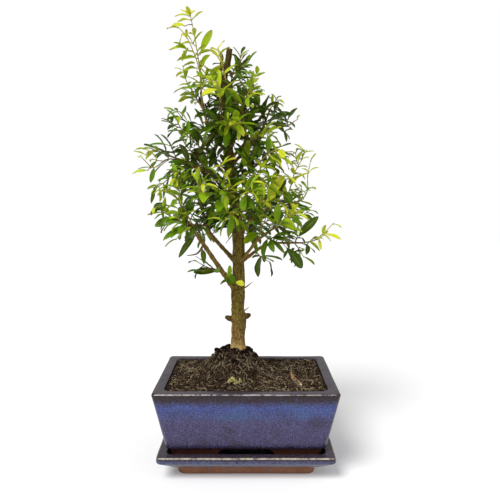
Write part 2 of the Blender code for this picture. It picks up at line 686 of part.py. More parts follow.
def blade_rings(base, direction, normal, length, width, droop, sections, extra=0):
    """Three-cornered rings of a leaf that arches down: two edges, and the midrib's keel below."""
    side = direction.cross(normal).normalized()
    normal = side.cross(direction).normalized()
    rings = []
    for t, share in sections:
        ahead = length * math.sin(droop * t) / droop
        down = length * (1 - math.cos(droop * t)) / droop
        centre = base + direction * ahead - normal * down
        lifted = normal * math.cos(droop * t) + direction * math.sin(droop * t)
        half = max(share * width / 2, PETIOLE_HALF) + extra
        keel = centre - lifted * (LEAF_THICKNESS + extra)
        centre += lifted * extra
        is_tip = share == 0 and t == 1 and not extra
        rings.append([centre] if is_tip else [centre - side * half, centre + side * half, keel])
    return rings


SHORT_BLADE = [(0, 0), (0.5, 1), (1, 0)]
LONG_BLADE = [(0, 0), (0.33, 0.95), (0.7, 0.85), (1, 0)]
PROBE_BLADE = [(0.2, 0.6), (0.5, 1), (0.77, 0.72), (1, 0)]


def place_leaf(draw, base, along_twig, turn, length, owner, taken):
    """The rings of one leaf, turned until it is clear of all else, or None."""
    across = along_twig.orthogonal().normalized()
    out = Quaternion(along_twig, turn) @ across
    width = length * draw.uniform(0.26, 0.34)
    for attempt in range(7):
        spread = math.radians(draw.uniform(38, 68) + 4 * attempt)
        swing = draw.uniform(-0.25, 0.25) * (1 + attempt / 2)
        direction = along_twig * math.cos(spread) + (Quaternion(along_twig, swing) @ out) * math.sin(spread)
        direction = (direction + Vector((0, 0, draw.uniform(-0.25, 0.3)))).normalized()
        roll = draw.uniform(-0.6, 0.6)
        normal = Quaternion(direction, roll) @ (UP - direction * direction.z + 0.1 * out)
        shape = (base, direction, normal, length, width, draw.uniform(0.1, 1.0))
        if taken.free(blade_rings(*shape, PROBE_BLADE, 0.4 * MM), (owner,)):
            sections = LONG_BLADE if length > LONG_LEAF else SHORT_BLADE
            rings = blade_rings(*shape, sections)
            taken.add(owner + " leaf", rings)
            return rings
    return None


def leaves_along(draw, route, full_length, owner, taken):
    """Opposite pairs, each a quarter turn from the last, smaller towards the tip, then a tip leaf."""
    leaves = []
    length = route_length(route)
    turn = draw.uniform(0, math.pi)
    distance = PAIR_START
    while distance < length - 4 * MM:
        base, direction = along(route, distance)
        size = full_length * (1 - 0.45 * distance / length) * draw.uniform(0.8, 1.1)
        for side in (0, math.pi):
            leaves.append(place_leaf(draw, base, direction, turn + side, size, owner, taken))
        turn += math.radians(90) + draw.uniform(-0.3, 0.3)
        distance += PAIR_GAP * draw.uniform(0.85, 1.15)
    tip, direction = along(route, length - 1 * MM)
    leaves.append(place_leaf(draw, tip, direction, turn, 0.6 * full_length, owner, taken))
    return [rings for rings in leaves if rings]


def side_shoots(draw, route, taken):
    """Short shoots that leave the main one in turn round it."""
    shoots = []
    length = route_length(route)
    turn = draw.uniform(0, 2 * math.pi)
    distance = FIRST_SHOOT
    while distance < length - LAST_SHOOT:
        base, direction = along(route, distance)
        for _ in range(6):
            turn += GOLDEN_ANGLE
            out = Quaternion(direction, turn) @ direction.orthogonal().normalized()
            reach = draw.uniform(13, 20) * MM
            middle = base + (direction * 0.6 + out * 0.8) * reach / 2
            end = middle + (direction * 0.7 + out * 0.6 + UP * 0.3) * reach / 2
            shoot = [base, middle, end]
            probe = [base.lerp(middle, 0.5), middle, end]
            if taken.free(tube_rings(probe, [TWIG_START * MM] * 3)):
                shoots.append(shoot)
                break
        distance += SHOOT_GAP * draw.uniform(0.85, 1.15)
    return shoots


def grow_sprays(groups, taken):
    """Leafy shoots, each a solid of its own that starts at the face of the wood it grows from."""
    limbs = limb_routes()
    routes = {}
    for name, (limb, share, points, _) in SPRAYS.items():
        start = along(limbs[limb], share * route_length(limbs[limb]))[0]
        whole = smooth_route([start, *millimetres(points)], TWIG_STEP)
        routes[name] = start_clear(whole, TWIG_START * MM, taken)
    for name, route in routes.items():
        taken.add(name, tube_rings(route, [TWIG_SPACE * MM] * len(route)))
    young = material("young leaves", (0.24, 0.40, 0.03), 0.35)
    old = material("old leaves", (0.05, 0.16, 0.03), 0.3)
    for number, (name, route) in enumerate(routes.items()):
        draw = random.Random(name)
        pieces = new_collection(f"{name} pieces")
        shoots = [(route, tapering(route, TWIG_START, TWIG_TIP))]
        for shoot in side_shoots(draw, route, taken):
            shoots.append((shoot, tapering(shoot, SHOOT_START, TWIG_TIP)))
        for i, (path, radii) in enumerate(shoots):
            branch_curve(f"{name} shoot", path, radii, pieces, 0)
            if i:
                taken.add(f"{name} {i}", tube_rings(path, [radius + CLEARANCE for radius in radii]))
        full_length = SPRAYS[name][3] * MM
        for i, (path, _) in enumerate(shoots):
            size = full_length if i == 0 else 0.8 * full_length
            owner = f"{name} {i}" if i else name
            for rings in leaves_along(draw, path, size, owner, taken):
                blade = lofted("leaf", rings)
                mesh_object(f"{name} leaf", blade, pieces)
        groups[f"spray_{name}"] = (pieces, old if number % 3 == 2 else young)


def make_fallen_leaf(parts):
    """A dry leaf on the soil to the right of the trunk, its stalk curled up into the air."""
    stalk = Vector((50.5, -8, 0)) * MM
    tip = Vector((60, -40, 0)) * MM
    stalk.z = soil_height(stalk.x, stalk.y) + 13.5 * MM
    tip.z = soil_height(tip.x, tip.y) + DRY_LEAF_GAP
    chord = tip - stalk
    length = chord.length * DRY_LEAF_CURL / (2 * math.sin(DRY_LEAF_CURL / 2))
    direction = Quaternion(chord.cross(UP).normalized(), -DRY_LEAF_CURL / 2) @ chord.normalized()
    rings = blade_rings(stalk, direction, UP, length, 8 * MM, -DRY_LEAF_CURL, LONG_BLADE)
    look = material("dry leaf", (0.45, 0.33, 0.2), 0.8)
    mesh_object("fallen_leaf", lofted("fallen_leaf", rings), parts, look)


def main():
    clear_scene()
    parts = new_collection("pomegranate bonsai")
    cutters = new_collection("cutters")
    cutters.hide_render = True

    def cutters_of(name):
        group = bpy.data.collections.new(name)
        cutters.children.link(group)
        return group

    make_saucer(parts, cutters_of)
    make_pot(parts, cutters_of)
    make_drain_screens(parts, cutters_of)
    make_soil(parts, cutters_of)
    taken = Taken()
    groups = {}
    grow_wood(groups, taken)
    grow_sprays(groups, taken)
    fuse(groups, parts)
    bpy.data.objects["trunk"].data.shade_smooth()
    bpy.data.objects["trunk"].data.set_sharp_from_angle(angle=math.radians(40))
    make_fallen_leaf(parts)


main()
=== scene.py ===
import math
import random

import bmesh
import bpy
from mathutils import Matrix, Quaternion, Vector, noise
from mathutils.bvhtree import BVHTree


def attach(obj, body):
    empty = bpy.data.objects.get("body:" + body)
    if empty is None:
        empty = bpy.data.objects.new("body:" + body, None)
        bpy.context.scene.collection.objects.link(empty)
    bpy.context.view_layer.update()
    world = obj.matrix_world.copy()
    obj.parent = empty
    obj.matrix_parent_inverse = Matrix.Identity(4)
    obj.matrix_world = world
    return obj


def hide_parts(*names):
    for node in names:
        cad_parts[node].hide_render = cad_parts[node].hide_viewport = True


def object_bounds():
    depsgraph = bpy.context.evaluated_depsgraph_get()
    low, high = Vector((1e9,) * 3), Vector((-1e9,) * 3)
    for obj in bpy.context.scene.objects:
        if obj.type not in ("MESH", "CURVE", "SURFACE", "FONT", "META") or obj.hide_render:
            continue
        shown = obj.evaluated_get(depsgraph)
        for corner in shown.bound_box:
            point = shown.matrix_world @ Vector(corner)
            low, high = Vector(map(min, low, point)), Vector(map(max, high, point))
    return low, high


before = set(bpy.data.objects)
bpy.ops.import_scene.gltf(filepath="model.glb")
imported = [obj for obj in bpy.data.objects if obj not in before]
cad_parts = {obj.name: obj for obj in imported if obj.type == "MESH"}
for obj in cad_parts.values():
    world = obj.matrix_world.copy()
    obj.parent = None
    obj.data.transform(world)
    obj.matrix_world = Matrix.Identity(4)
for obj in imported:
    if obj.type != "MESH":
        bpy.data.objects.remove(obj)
cad_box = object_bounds()
MM = 0.001

# The view. The camera looks at the long side of the pot from a little above, on a pale floor
# under a broad soft light, and sees the whole tree.
CAMERA_PLACE = (0.0042, -0.657, 0.2997)
CAMERA_PITCH = 5.0
SENSOR_WIDTH = 36
PICTURE_PIXELS = 500
FOCAL_PIXELS = 572
# How strongly the white world lights the object. The camera sees it at full strength.
AMBIENT = 0.42
KEY_PLACE = (-0.45, -0.62, 0.9)
KEY_STRENGTH = 2.5
KEY_SPREAD = 28
FILL_PLACE = (1.3, -0.8, 0.7)
FILL_TARGET = (0, 0, 0.2)
FILL_POWER = 3
FILL_SIZE = 1.0

camera_data = bpy.data.cameras.new("camera")
camera_data.sensor_width = SENSOR_WIDTH
camera_data.lens = SENSOR_WIDTH * FOCAL_PIXELS / PICTURE_PIXELS
camera = bpy.data.objects.new("camera", camera_data)
camera.location = CAMERA_PLACE
camera.rotation_euler = (math.radians(90 - CAMERA_PITCH), 0, 0)
bpy.context.scene.collection.objects.link(camera)
bpy.context.scene.camera = camera
bpy.context.scene.view_settings.view_transform = "Standard"


class Value:
    """A number worked out at each point of a surface: a socket that takes part in sums."""

    def __init__(self, tree, socket):
        self.tree = tree
        self.socket = socket

    def math(self, operation, *operands):
        node = self.tree.nodes.new("ShaderNodeMath")
        node.operation = operation
        for place, operand in zip(node.inputs, operands):
            connect(self.tree, place, operand)
        return Value(self.tree, node.outputs[0])

    def __add__(self, other):
        return self.math("ADD", self, other)

    def __sub__(self, other):
        return self.math("SUBTRACT", self, other)

    def __mul__(self, other):
        return self.math("MULTIPLY", self, other)

    def __truediv__(self, other):
        return self.math("DIVIDE", self, other)

    def __rsub__(self, other):
        return self.math("SUBTRACT", other, self)

    __radd__ = __add__
    __rmul__ = __mul__

    def __abs__(self):
        return self.math("ABSOLUTE", self)

    def most(self, other):
        return self.math("MAXIMUM", self, other)

    def between(self, low, high):
        """0 at low and below, 1 at high and above, smooth in between."""
        node = self.tree.nodes.new("ShaderNodeMapRange")
        node.interpolation_type = "SMOOTHSTEP"
        connect(self.tree, node.inputs["Value"], self)
        node.inputs["From Min"].default_value = low
        node.inputs["From Max"].default_value = high
        return Value(self.tree, node.outputs["Result"])


def connect(tree, place, given):
    """Links a value to a socket, or sets the socket where a plain number or colour is given."""
    if isinstance(given, Value):
        tree.links.new(given.socket, place)
    elif isinstance(given, tuple) and len(given) == 3 and place.type == "RGBA":
        place.default_value = (*given, 1)
    else:
        place.default_value = given


world = bpy.data.worlds.new("studio")
world.use_nodes = True
world_tree = world.node_tree
seen = Value(world_tree, world_tree.nodes.new("ShaderNodeLightPath").outputs["Is Camera Ray"])
world_tree.nodes["Background"].inputs["Color"].default_value = (1, 1, 1, 1)
connect(world_tree, world_tree.nodes["Background"].inputs["Strength"], AMBIENT + (1 - AMBIENT) * seen)
bpy.context.scene.world = world


def aimed(name, kind, place, target, energy):
    """A light at the place, turned to the target."""
    data = bpy.data.lights.new(name, kind)
    data.energy = energy
    light = bpy.data.objects.new(name, data)
    light.location = place
    light.rotation_euler = (Vector(target) - Vector(place)).to_track_quat("-Z", "Y").to_euler()
    bpy.context.scene.collection.objects.link(light)
    return data


aimed("key light", "SUN", KEY_PLACE, (0, 0, 0), KEY_STRENGTH).angle = math.radians(KEY_SPREAD)
aimed("fill light", "AREA", FILL_PLACE, FILL_TARGET, FILL_POWER).size = FILL_SIZE


class Finish:
    """A material: one Principled surface and the nodes that drive it."""

    def __init__(self, name, roughness=0.5):
        self.material = bpy.data.materials.new(name)
        self.material.use_nodes = True
        self.tree = self.material.node_tree
        self.surface = self.tree.nodes["Principled BSDF"]
        self.set("Roughness", roughness)

    def node(self, kind, settings=None, sockets=None, output=0):
        node = self.tree.nodes.new("ShaderNode" + kind)
        for name, setting in (settings or {}).items():
            if name == "stops":
                while len(node.color_ramp.elements) < len(setting):
                    node.color_ramp.elements.new(0.5)
                for element, (place, colour) in zip(node.color_ramp.elements, setting):
                    element.position = place
                    element.color = (*colour, 1)
            else:
                setattr(node, name, setting)
        for name, given in (sockets or {}).items():
            connect(self.tree, node.inputs[name], given)
        return Value(self.tree, node.outputs[output])

    def set(self, name, given):
        connect(self.tree, self.surface.inputs[name], given)

    def mix(self, share, first, second):
        return self.node("Mix", {"data_type": "RGBA"}, {0: share, 6: first, 7: second}, 2)

    def over(self, colour, *layers):
        """The colour with others laid over it in turn, each given as its share and itself."""
        for share, above in layers:
            colour = self.mix(share, colour, above)
        return colour

    def ramp(self, level, stops):
        """The colour at a level from 0 to 1. Each stop is its level, then red, green and blue."""
        stops = [(place, linear(*colour)) for place, *colour in stops]
        return self.node("ValToRGB", {"stops": stops}, {"Fac": level})

    def place(self):
        """The point's place in the model, as x, y and z."""
        whole = self.node("TexCoord", output="Object")
        parts = self.tree.nodes.new("ShaderNodeSeparateXYZ")
        self.tree.links.new(whole.socket, parts.inputs[0])
        return whole, *(Value(self.tree, parts.outputs[i]) for i in range(3))

    def grain(self, vector, size, detail=3, roughness=0.55, stretch=None):
        """Noise from 0 to 1, with features of about the size, in metres."""
        if stretch:
            vector = self.node("VectorMath", {"operation": "MULTIPLY"}, {0: vector, 1: stretch})
        sockets = {"Vector": vector, "Scale": 1 / size, "Detail": detail, "Roughness": roughness}
        return self.node("TexNoise", None, sockets)

    def bump(self, height, depth):
        self.set("Normal", self.node("Bump", None, {"Height": height, "Distance": depth}))

    def attribute(self, name):
        return self.node("Attribute", {"attribute_name": name}, None, "Fac")


def linear(red, green, blue):
    """A colour as a screen shows it, 0 to 255, in the renderer's own linear values."""
    return tuple(
        (part / 255 / 12.92) if part <= 10 else ((part / 255 + 0.055) / 1.055) ** 2.4
        for part in (red, green, blue)
    )


# The floor is a plain pale sheet below the saucer, where the soft shadow falls. It glows a
# little, so that it fades into the white world without a horizon.
FLOOR_GLOW = 0.13
FLOOR_DROP = 0.5 * MM
floor_mesh = bpy.data.meshes.new("floor")
floor_bm = bmesh.new()
bmesh.ops.create_grid(floor_bm, x_segments=8, y_segments=8, size=3)
floor_bm.to_mesh(floor_mesh)
floor_bm.free()
floor = bpy.data.objects.new("floor", floor_mesh)
floor.location.z = -FLOOR_DROP
bpy.context.scene.collection.objects.link(floor)
floor_finish = Finish("pale floor", 0.7)
floor_grain = floor_finish.grain(floor_finish.place()[0], 0.05)
floor_finish.set("Base Color", floor_finish.mix(floor_grain, (0.93, 0.93, 0.93), (0.96, 0.96, 0.96)))
floor_finish.set("Emission Color", (1, 1, 1))
floor_finish.set("Emission Strength", FLOOR_GLOW)
floor_mesh.materials.append(floor_finish.material)


# The saucer is a slip-cast clay tray, glazed above and on its lip. Its base, which stood on the
# kiln shelf, is bare clay. The lip's edges are rounded by the glaze.
SAUCER_LENGTH = 193 * MM
SAUCER_WIDTH = 145 * MM
SAUCER_HEIGHT = 27 * MM
SAUCER_FLOOR = 12 * MM
SAUCER_LIP = 10.5 * MM
CORNER_STEPS = 8
SIDE_STEPS = 24


def rounded_ring(height, length, width, corner):
    """Points round a rectangle with round corners, with points along its sides too."""
    points = []
    for quarter in range(4):
        side_x = 1 if quarter in (0, 3) else -1
        side_y = 1 if quarter in (0, 1) else -1
        for step in range(CORNER_STEPS + 1):
            angle = math.radians(90) * (quarter + step / CORNER_STEPS)
            x = side_x * (length / 2 - corner) + corner * math.cos(angle)
            y = side_y * (width / 2 - corner) + corner * math.sin(angle)
            points.append(Vector((x, y, height)))
    ring = []
    for i, point in enumerate(points):
        ring.append(point)
        if i % (CORNER_STEPS + 1) == CORNER_STEPS:
            following = points[(i + 1) % len(points)]
            ring += [point.lerp(following, step / SIDE_STEPS) for step in range(1, SIDE_STEPS)]
    return ring


def rounded_profile(corners, steps=5):
    """The profile with its corners rounded, as levels: (height, length, width, how round in plan)."""
    levels = []
    for i, (height, length, width, plan, radius) in enumerate(corners):
        here = Vector((height, length / 2, width / 2))
        if radius and 0 < i < len(corners) - 1:
            before = Vector((corners[i - 1][0], corners[i - 1][1] / 2, corners[i - 1][2] / 2))
            after = Vector((corners[i + 1][0], corners[i + 1][1] / 2, corners[i + 1][2] / 2))
            start = here + (before - here).normalized() * min(radius, (before - here).length / 2)
            end = here + (after - here).normalized() * min(radius, (after - here).length / 2)
            for step in range(steps + 1):
                t = step / steps
                point = start.lerp(here, t).lerp(here.lerp(end, t), t)
                levels.append((point.x, 2 * point.y, 2 * point.z, plan))
        else:
            levels.append((height, length, width, plan))
    return levels


# The saucer stands flat: up to this height, the unevenness in height is less than its full size.
EVEN_BELOW = 60 * MM
# With its seed, the unevenness is the same each run.
noise.seed_set(7)


def skin(rings, wobble, wobble_size=30 * MM):
    """A closed mesh through rings that all have as many points, a little uneven as hand work is."""
    bm = bmesh.new()
    rows = []
    for ring in rings:
        row = []
        for point in ring:
            drift = noise.noise_vector(point / wobble_size) * wobble
            drift.z *= min(1, point.z / EVEN_BELOW) ** 2
            row.append(bm.verts.new(point + drift))
        rows.append(row)
    for lower, upper in zip(rows, rows[1:]):
        for i in range(len(lower)):
            j = (i + 1) % len(lower)
            bm.faces.new([lower[i], lower[j], upper[j], upper[i]])
    bm.faces.new(list(reversed(rows[0])))
    bm.faces.new(rows[-1])
    bmesh.ops.recalc_face_normals(bm, faces=bm.faces)
    return bm


def dressed(name, mesh, finishes, sharp):
    """The piece that a mesh makes: smooth up to the angle of its sharp edges, on the one body."""
    for finish in finishes:
        mesh.materials.append(finish.material)
    mesh.shade_smooth()
    mesh.set_sharp_from_angle(angle=math.radians(sharp))
    piece = bpy.data.objects.new(name, mesh)
    bpy.context.scene.collection.objects.link(piece)
    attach(piece, "root")
    return piece


def piece_from(name, bm, finish, sharp=40):
    mesh = bpy.data.meshes.new(name)
    bm.to_mesh(mesh)
    bm.free()
    return dressed(name, mesh, [finish], sharp)


def fired_clay(name, glaze_from, stops, foot, reach, clay_dark, clay_pale):
    """Glaze over clay: its colours run with height, break brown at the edges and carry specks.

    Below the height glaze_from the clay is bare. foot and reach are the two heights, in metres,
    between which the stops lie. Gives the finish, its glaze, its clay and the share that is bare,
    for more colour to be laid over."""
    finish = Finish(name)
    where, _, _, z = finish.place()
    broad = finish.grain(where, 18 * MM, 4)
    fine = finish.grain(where, 1.2 * MM, 4, 0.65)
    runs = finish.grain(where, 5 * MM, 3, 0.6, (1, 1, 0.22))
    level = (z - foot) / (reach - foot) + (runs - 0.5) * 0.10 + (broad - 0.5) * 0.12
    band = 0.35 + 0.65 * level.between(0.9, 0.84)
    pits = finish.node("TexVoronoi", None, {"Vector": where, "Scale": 1 / (9 * MM)}, "Distance")
    pit = pits.between(0.14, 0.07)
    edge = z + (broad - 0.5) * 1.2 * MM
    bare = edge.between(glaze_from + 0.25 * MM, glaze_from - 0.25 * MM)
    glaze = finish.over(
        finish.ramp(level, stops),
        (runs.between(0.55, 0.8) * 0.4, linear(70, 84, 134)),
        (runs.between(0.45, 0.25) * 0.35, linear(40, 24, 44)),
        (fine.between(0.51, 0.66) * 0.5 * band, linear(112, 116, 178)),
        (fine.between(0.49, 0.36) * 0.65, linear(18, 10, 30)),
        (pit * 0.85, linear(16, 9, 14)),
        (edge.between(glaze_from + 4 * MM, glaze_from) * 0.8, linear(26, 12, 16)),
    )
    clay_grain = finish.grain(where, 2.2 * MM, 5, 0.7)
    clay = finish.mix(clay_grain, clay_dark, clay_pale)
    clay = finish.mix(broad.between(0.45, 0.75) * 0.5, clay, clay_dark)
    finish.set("Roughness", 0.16 + 0.16 * fine + 0.62 * bare)
    finish.set("Coat Weight", 0.18 - 0.18 * bare)
    finish.set("Coat Roughness", 0.1)
    finish.set("Specular IOR Level", 0.28)
    relief = (broad * 0.5 + fine * 0.14 - pit * 0.5) * (1 - bare) + clay_grain * bare * 0.5
    finish.bump(relief, 0.5 * MM)
    return finish, glaze, clay, bare


saucer_stops = [
    (0.0, 92, 82, 80), (0.3, 82, 78, 88), (0.6, 74, 78, 102), (0.8, 58, 58, 80), (0.93, 50, 42, 52),
    (1.0, 58, 50, 56),
]
saucer_finish, saucer_glaze, saucer_clay, saucer_bare = fired_clay(
    "saucer glaze", 7.6 * MM, saucer_stops, 9 * MM, SAUCER_HEIGHT, linear(112, 68, 42), linear(172, 122, 92)
)
saucer_where, saucer_x, saucer_y, saucer_z = saucer_finish.place()
saucer_out = (abs(saucer_x) - SAUCER_LENGTH / 2).most(abs(saucer_y) - SAUCER_WIDTH / 2)
saucer_patch = saucer_finish.grain(saucer_where, 6 * MM, 4, 0.6)
# A pale cream line at the lip's upper outer edge, in patches: partly the glaze breaking pale there, partly a
# painted highlight.
saucer_edge_break_and_highlight = saucer_out.between(-1.7 * MM, -1.2 * MM) * saucer_z.between(24.9 * MM, 25.5 * MM)
saucer_line = saucer_z.between(23.3 * MM, 23.8 * MM) * saucer_z.between(25.0 * MM, 24.6 * MM)
saucer_glaze = saucer_finish.over(
    saucer_glaze,
    (saucer_line * 0.85, linear(22, 17, 20)),
    (saucer_edge_break_and_highlight * saucer_patch.between(0.25, 0.6) * 0.8, linear(196, 182, 162)),
)
saucer_clay = saucer_finish.over(
    saucer_clay,
    (saucer_patch.between(0.48, 0.62) * 0.4, linear(126, 112, 112)),
    (saucer_z.between(1.6 * MM, 0.4 * MM) * 0.8, linear(96, 44, 14)),
)
saucer_finish.set("Base Color", saucer_finish.mix(saucer_bare, saucer_glaze, saucer_clay))
# Its profile, from under the base, up over the lip and down to the middle of its floor. Each
# corner is (height, length, width, how round in plan, how round in profile).
saucer_corners = [
    (0.0, 149 * MM, 102 * MM, 9 * MM, 0),
    (0.0, 150.5 * MM, 103.5 * MM, 9 * MM, 1.2 * MM),
    (2 * MM, 152 * MM, 105 * MM, 10 * MM, 1.5 * MM),
    (8 * MM, 152 * MM, 105 * MM, 10 * MM, 0.8 * MM),
    (9 * MM, 159 * MM, 112 * MM, 10 * MM, 1.5 * MM),
    (12 * MM, 171 * MM, 123 * MM, 9 * MM, 3 * MM),
    (20 * MM, SAUCER_LENGTH, SAUCER_WIDTH, 6 * MM, 1.5 * MM),
    (SAUCER_HEIGHT - 0.4 * MM, SAUCER_LENGTH - 0.4 * MM, SAUCER_WIDTH - 0.4 * MM, 6 * MM, 1.6 * MM),
    (SAUCER_HEIGHT, SAUCER_LENGTH - 2 * SAUCER_LIP, SAUCER_WIDTH - 2 * SAUCER_LIP, 5 * MM, 1.4 * MM),
    (SAUCER_FLOOR, SAUCER_LENGTH - 30 * MM, SAUCER_WIDTH - 31 * MM, 6 * MM, 2 * MM),
    (SAUCER_FLOOR, SAUCER_LENGTH - 40 * MM, SAUCER_WIDTH - 41 * MM, 6 * MM, 0),
]
saucer_rings = [rounded_ring(*level) for level in rounded_profile(saucer_corners)]
saucer = piece_from("saucer_tray", skin(saucer_rings, 0.35 * MM), saucer_finish)
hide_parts("saucer")


# The pot is pressed clay with a broad rim, glazed blue-violet that breaks to brown at its edges.
# Below the glaze line the bare clay goes on down to four corner feet with low arches between.
POT_LENGTH = 200 * MM
POT_WIDTH = 150 * MM
POT_TOP = 97 * MM
POT_BASE = SAUCER_FLOOR + 0.3 * MM
POT_RIM = 12 * MM
POT_TAPER = 0.2
POT_STEP = 6 * MM
POT_FLOOR = 38 * MM
POT_FLOOR_UNDER = 31 * MM
BOWL_LENGTH = POT_LENGTH - 2 * POT_RIM
BOWL_WIDTH = POT_WIDTH - 2 * POT_RIM
# How much shorter and narrower the bowl is at its floor.
BOWL_TAPER = 21 * MM
GLAZE_END = 32 * MM
FRONT_ARCH = 63 * MM
SIDE_ARCH = 42 * MM
ARCH_ROUND = 9 * MM


def pot_size(height):
    inset = 2 * POT_TAPER * (POT_TOP - height)
    return POT_LENGTH - inset, POT_WIDTH - inset


def pot_corner(height, inset, plan, radius):
    length, width = pot_size(height)
    return height, length - 2 * inset, width - 2 * inset, plan, radius


pot_stops = [
    (0.0, 24, 12, 20), (0.07, 46, 38, 66), (0.16, 60, 50, 84), (0.5, 64, 57, 92), (0.62, 58, 66, 112),
    (0.76, 54, 68, 130), (0.83, 48, 42, 76), (0.885, 34, 14, 11), (0.97, 38, 17, 12),
    (0.985, 58, 47, 50), (1.0, 64, 55, 60),
]
# The pot's bare clay is much darker than the saucer's: partly its own clay, partly painted shade on the
# feet, which stand down in the saucer.
pot_finish, pot_glaze, pot_clay, pot_bare = fired_clay(
    "pot glaze", GLAZE_END, pot_stops, GLAZE_END, POT_TOP, linear(46, 18, 12), linear(96, 50, 34)
)
pot_where, pot_x, pot_y, pot_z = pot_finish.place()
pot_inset = POT_TAPER * (POT_TOP - pot_z)
pot_end = (abs(pot_x) + pot_inset).between(POT_LENGTH / 2 - 3.5 * MM, POT_LENGTH / 2)
pot_side = (abs(pot_y) + pot_inset).between(POT_WIDTH / 2 - 3.5 * MM, POT_WIDTH / 2)
pot_patch = pot_finish.grain(pot_where, 26 * MM, 3, 0.6, (1, 1, 1.5))
pot_teal = pot_patch.between(0.5, 0.66) * pot_z.between(62 * MM, 72 * MM) * pot_z.between(90 * MM, 84 * MM)
pot_shade = pot_patch.between(0.46, 0.34) * pot_z.between(84 * MM, 70 * MM)
pot_out = (abs(pot_x) - POT_LENGTH / 2).most(abs(pot_y) - POT_WIDTH / 2)
# A thin painted highlight along the outer top edge of the rim, broken into patches.
pot_lit = pot_out.between(-1.2 * MM, -0.7 * MM) * pot_z.between(95.6 * MM, 96.2 * MM)
pot_highlight_patches = pot_finish.grain(pot_where, 7 * MM, 4, 0.7).between(0.38, 0.56)
pot_line = pot_z.between(93.2 * MM, 93.8 * MM) * pot_z.between(95.3 * MM, 94.8 * MM)
pot_glaze = pot_finish.over(
    pot_glaze,
    (pot_end * pot_side * 0.9, linear(34, 18, 20)),
    (pot_teal * 0.32, linear(56, 92, 134)),
    (pot_shade * 0.45, linear(38, 28, 44)),
    (pot_lit * pot_highlight_patches * 0.85, linear(180, 172, 168)),
    (pot_line * 0.75, linear(16, 8, 9)),
)
pot_finish.set("Base Color", pot_finish.mix(pot_bare, pot_glaze, pot_clay))
# Its profile, from under the feet, up over the rim and down to the middle of its floor.
pot_corners = [
    pot_corner(POT_BASE, 16 * MM, 5 * MM, 0),
    pot_corner(POT_BASE, 3.4 * MM, 8 * MM, 1.5 * MM),
    pot_corner(GLAZE_END - 1.2 * MM, 3.4 * MM, 8 * MM, 1.0 * MM),
    pot_corner(GLAZE_END, 0, 7 * MM, 1.6 * MM),
    pot_corner(POT_TOP - 1.6 * MM, -0.4 * MM, 5 * MM, 1.2 * MM),
    (POT_TOP, POT_LENGTH - 2 * MM, POT_WIDTH - 2 * MM, 5 * MM, 0.8 * MM),
    (POT_TOP, BOWL_LENGTH + 1 * MM, BOWL_WIDTH + 1 * MM, 10 * MM, 2 * MM),
    (84 * MM, BOWL_LENGTH - 4 * MM, BOWL_WIDTH - 4 * MM, 9 * MM, 0),
    (POT_FLOOR, BOWL_LENGTH - BOWL_TAPER, BOWL_WIDTH - BOWL_TAPER, 5 * MM, 2 * MM),
    (POT_FLOOR, BOWL_LENGTH - 50 * MM, BOWL_WIDTH - 50 * MM, 5 * MM, 0),
]
pot_levels = rounded_profile(pot_corners)
pot_rings = []
for lower, upper in zip(pot_levels, pot_levels[1:]):
    tall = abs(upper[0] - lower[0])
    steps = max(1, round(tall / POT_STEP))
    for step in range(steps):
        share = step / steps
        pot_rings.append(rounded_ring(*(a + (b - a) * share for a, b in zip(lower, upper))))
pot_rings.append(rounded_ring(*pot_levels[-1]))
pot = piece_from("pot_body", skin(pot_rings, 0.5 * MM, 50 * MM), pot_finish)


def cutting_block(name, size, centre, round_axis=None):
    """A block that cuts the gap between two feet, its upper edges rounded along one axis."""
    bm = bmesh.new()
    bmesh.ops.create_cube(bm, size=1)
    bmesh.ops.scale(bm, vec=size, verts=bm.verts)
    if round_axis is not None:
        upper = [
            edge for edge in bm.edges
            if all(vertex.co.z > 0 for vertex in edge.verts)
            and abs((edge.verts[0].co - edge.verts[1].co)[round_axis]) > ARCH_ROUND
        ]
        bmesh.ops.bevel(bm, geom=upper, offset=ARCH_ROUND, segments=10, profile=0.5, affect="EDGES")
    bmesh.ops.translate(bm, vec=centre, verts=bm.verts)
    mesh = bpy.data.meshes.new(name)
    bm.to_mesh(mesh)
    bm.free()
    block = bpy.data.objects.new(name, mesh)
    bpy.context.scene.collection.objects.link(block)
    return block


foot_length, foot_width = pot_size(POT_BASE)
under = 2 * (POT_FLOOR_UNDER - POT_BASE)
front_gap = (FRONT_ARCH, POT_WIDTH, under - 0.8 * MM)
side_gap = (POT_LENGTH, SIDE_ARCH, under - 1.6 * MM)
recess = (foot_length - 28 * MM, foot_width - 28 * MM, under)
blocks = [
    cutting_block("front arch", front_gap, (0, 0, POT_BASE), 1),
    cutting_block("side arch", side_gap, (0, 0, POT_BASE), 0),
    cutting_block("recess", recess, (0, 0, POT_BASE)),
]
for block in blocks:
    modifier = pot.modifiers.new("gap", "BOOLEAN")
    modifier.operation = "DIFFERENCE"
    modifier.solver = "MANIFOLD"
    modifier.object = block
graph = bpy.context.evaluated_depsgraph_get()
pot_mesh = bpy.data.meshes.new_from_object(pot.evaluated_get(graph))
pot.modifiers.clear()
pot.data = pot_mesh
pot_mesh.shade_smooth()
pot_mesh.set_sharp_from_angle(angle=math.radians(35))
for block in blocks:
    bpy.data.objects.remove(block)
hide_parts("pot")


# Squares of plastic mesh lie over the two drain holes, under the soil, and keep it in. They are
# the plain solids of the frame, in dark green plastic.
screen_finish = Finish("screen plastic", 0.6)
screen_where = screen_finish.place()[0]
screen_grain = screen_finish.grain(screen_where, 0.8 * MM)
screen_finish.set("Base Color", screen_finish.mix(screen_grain, (0.012, 0.04, 0.02), (0.03, 0.07, 0.04)))
screen_finish.bump(screen_grain, 0.1 * MM)
for name in ("drain_screen_left", "drain_screen_right"):
    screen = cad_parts[name]
    screen.data.materials.clear()
    screen.data.materials.append(screen_finish.material)


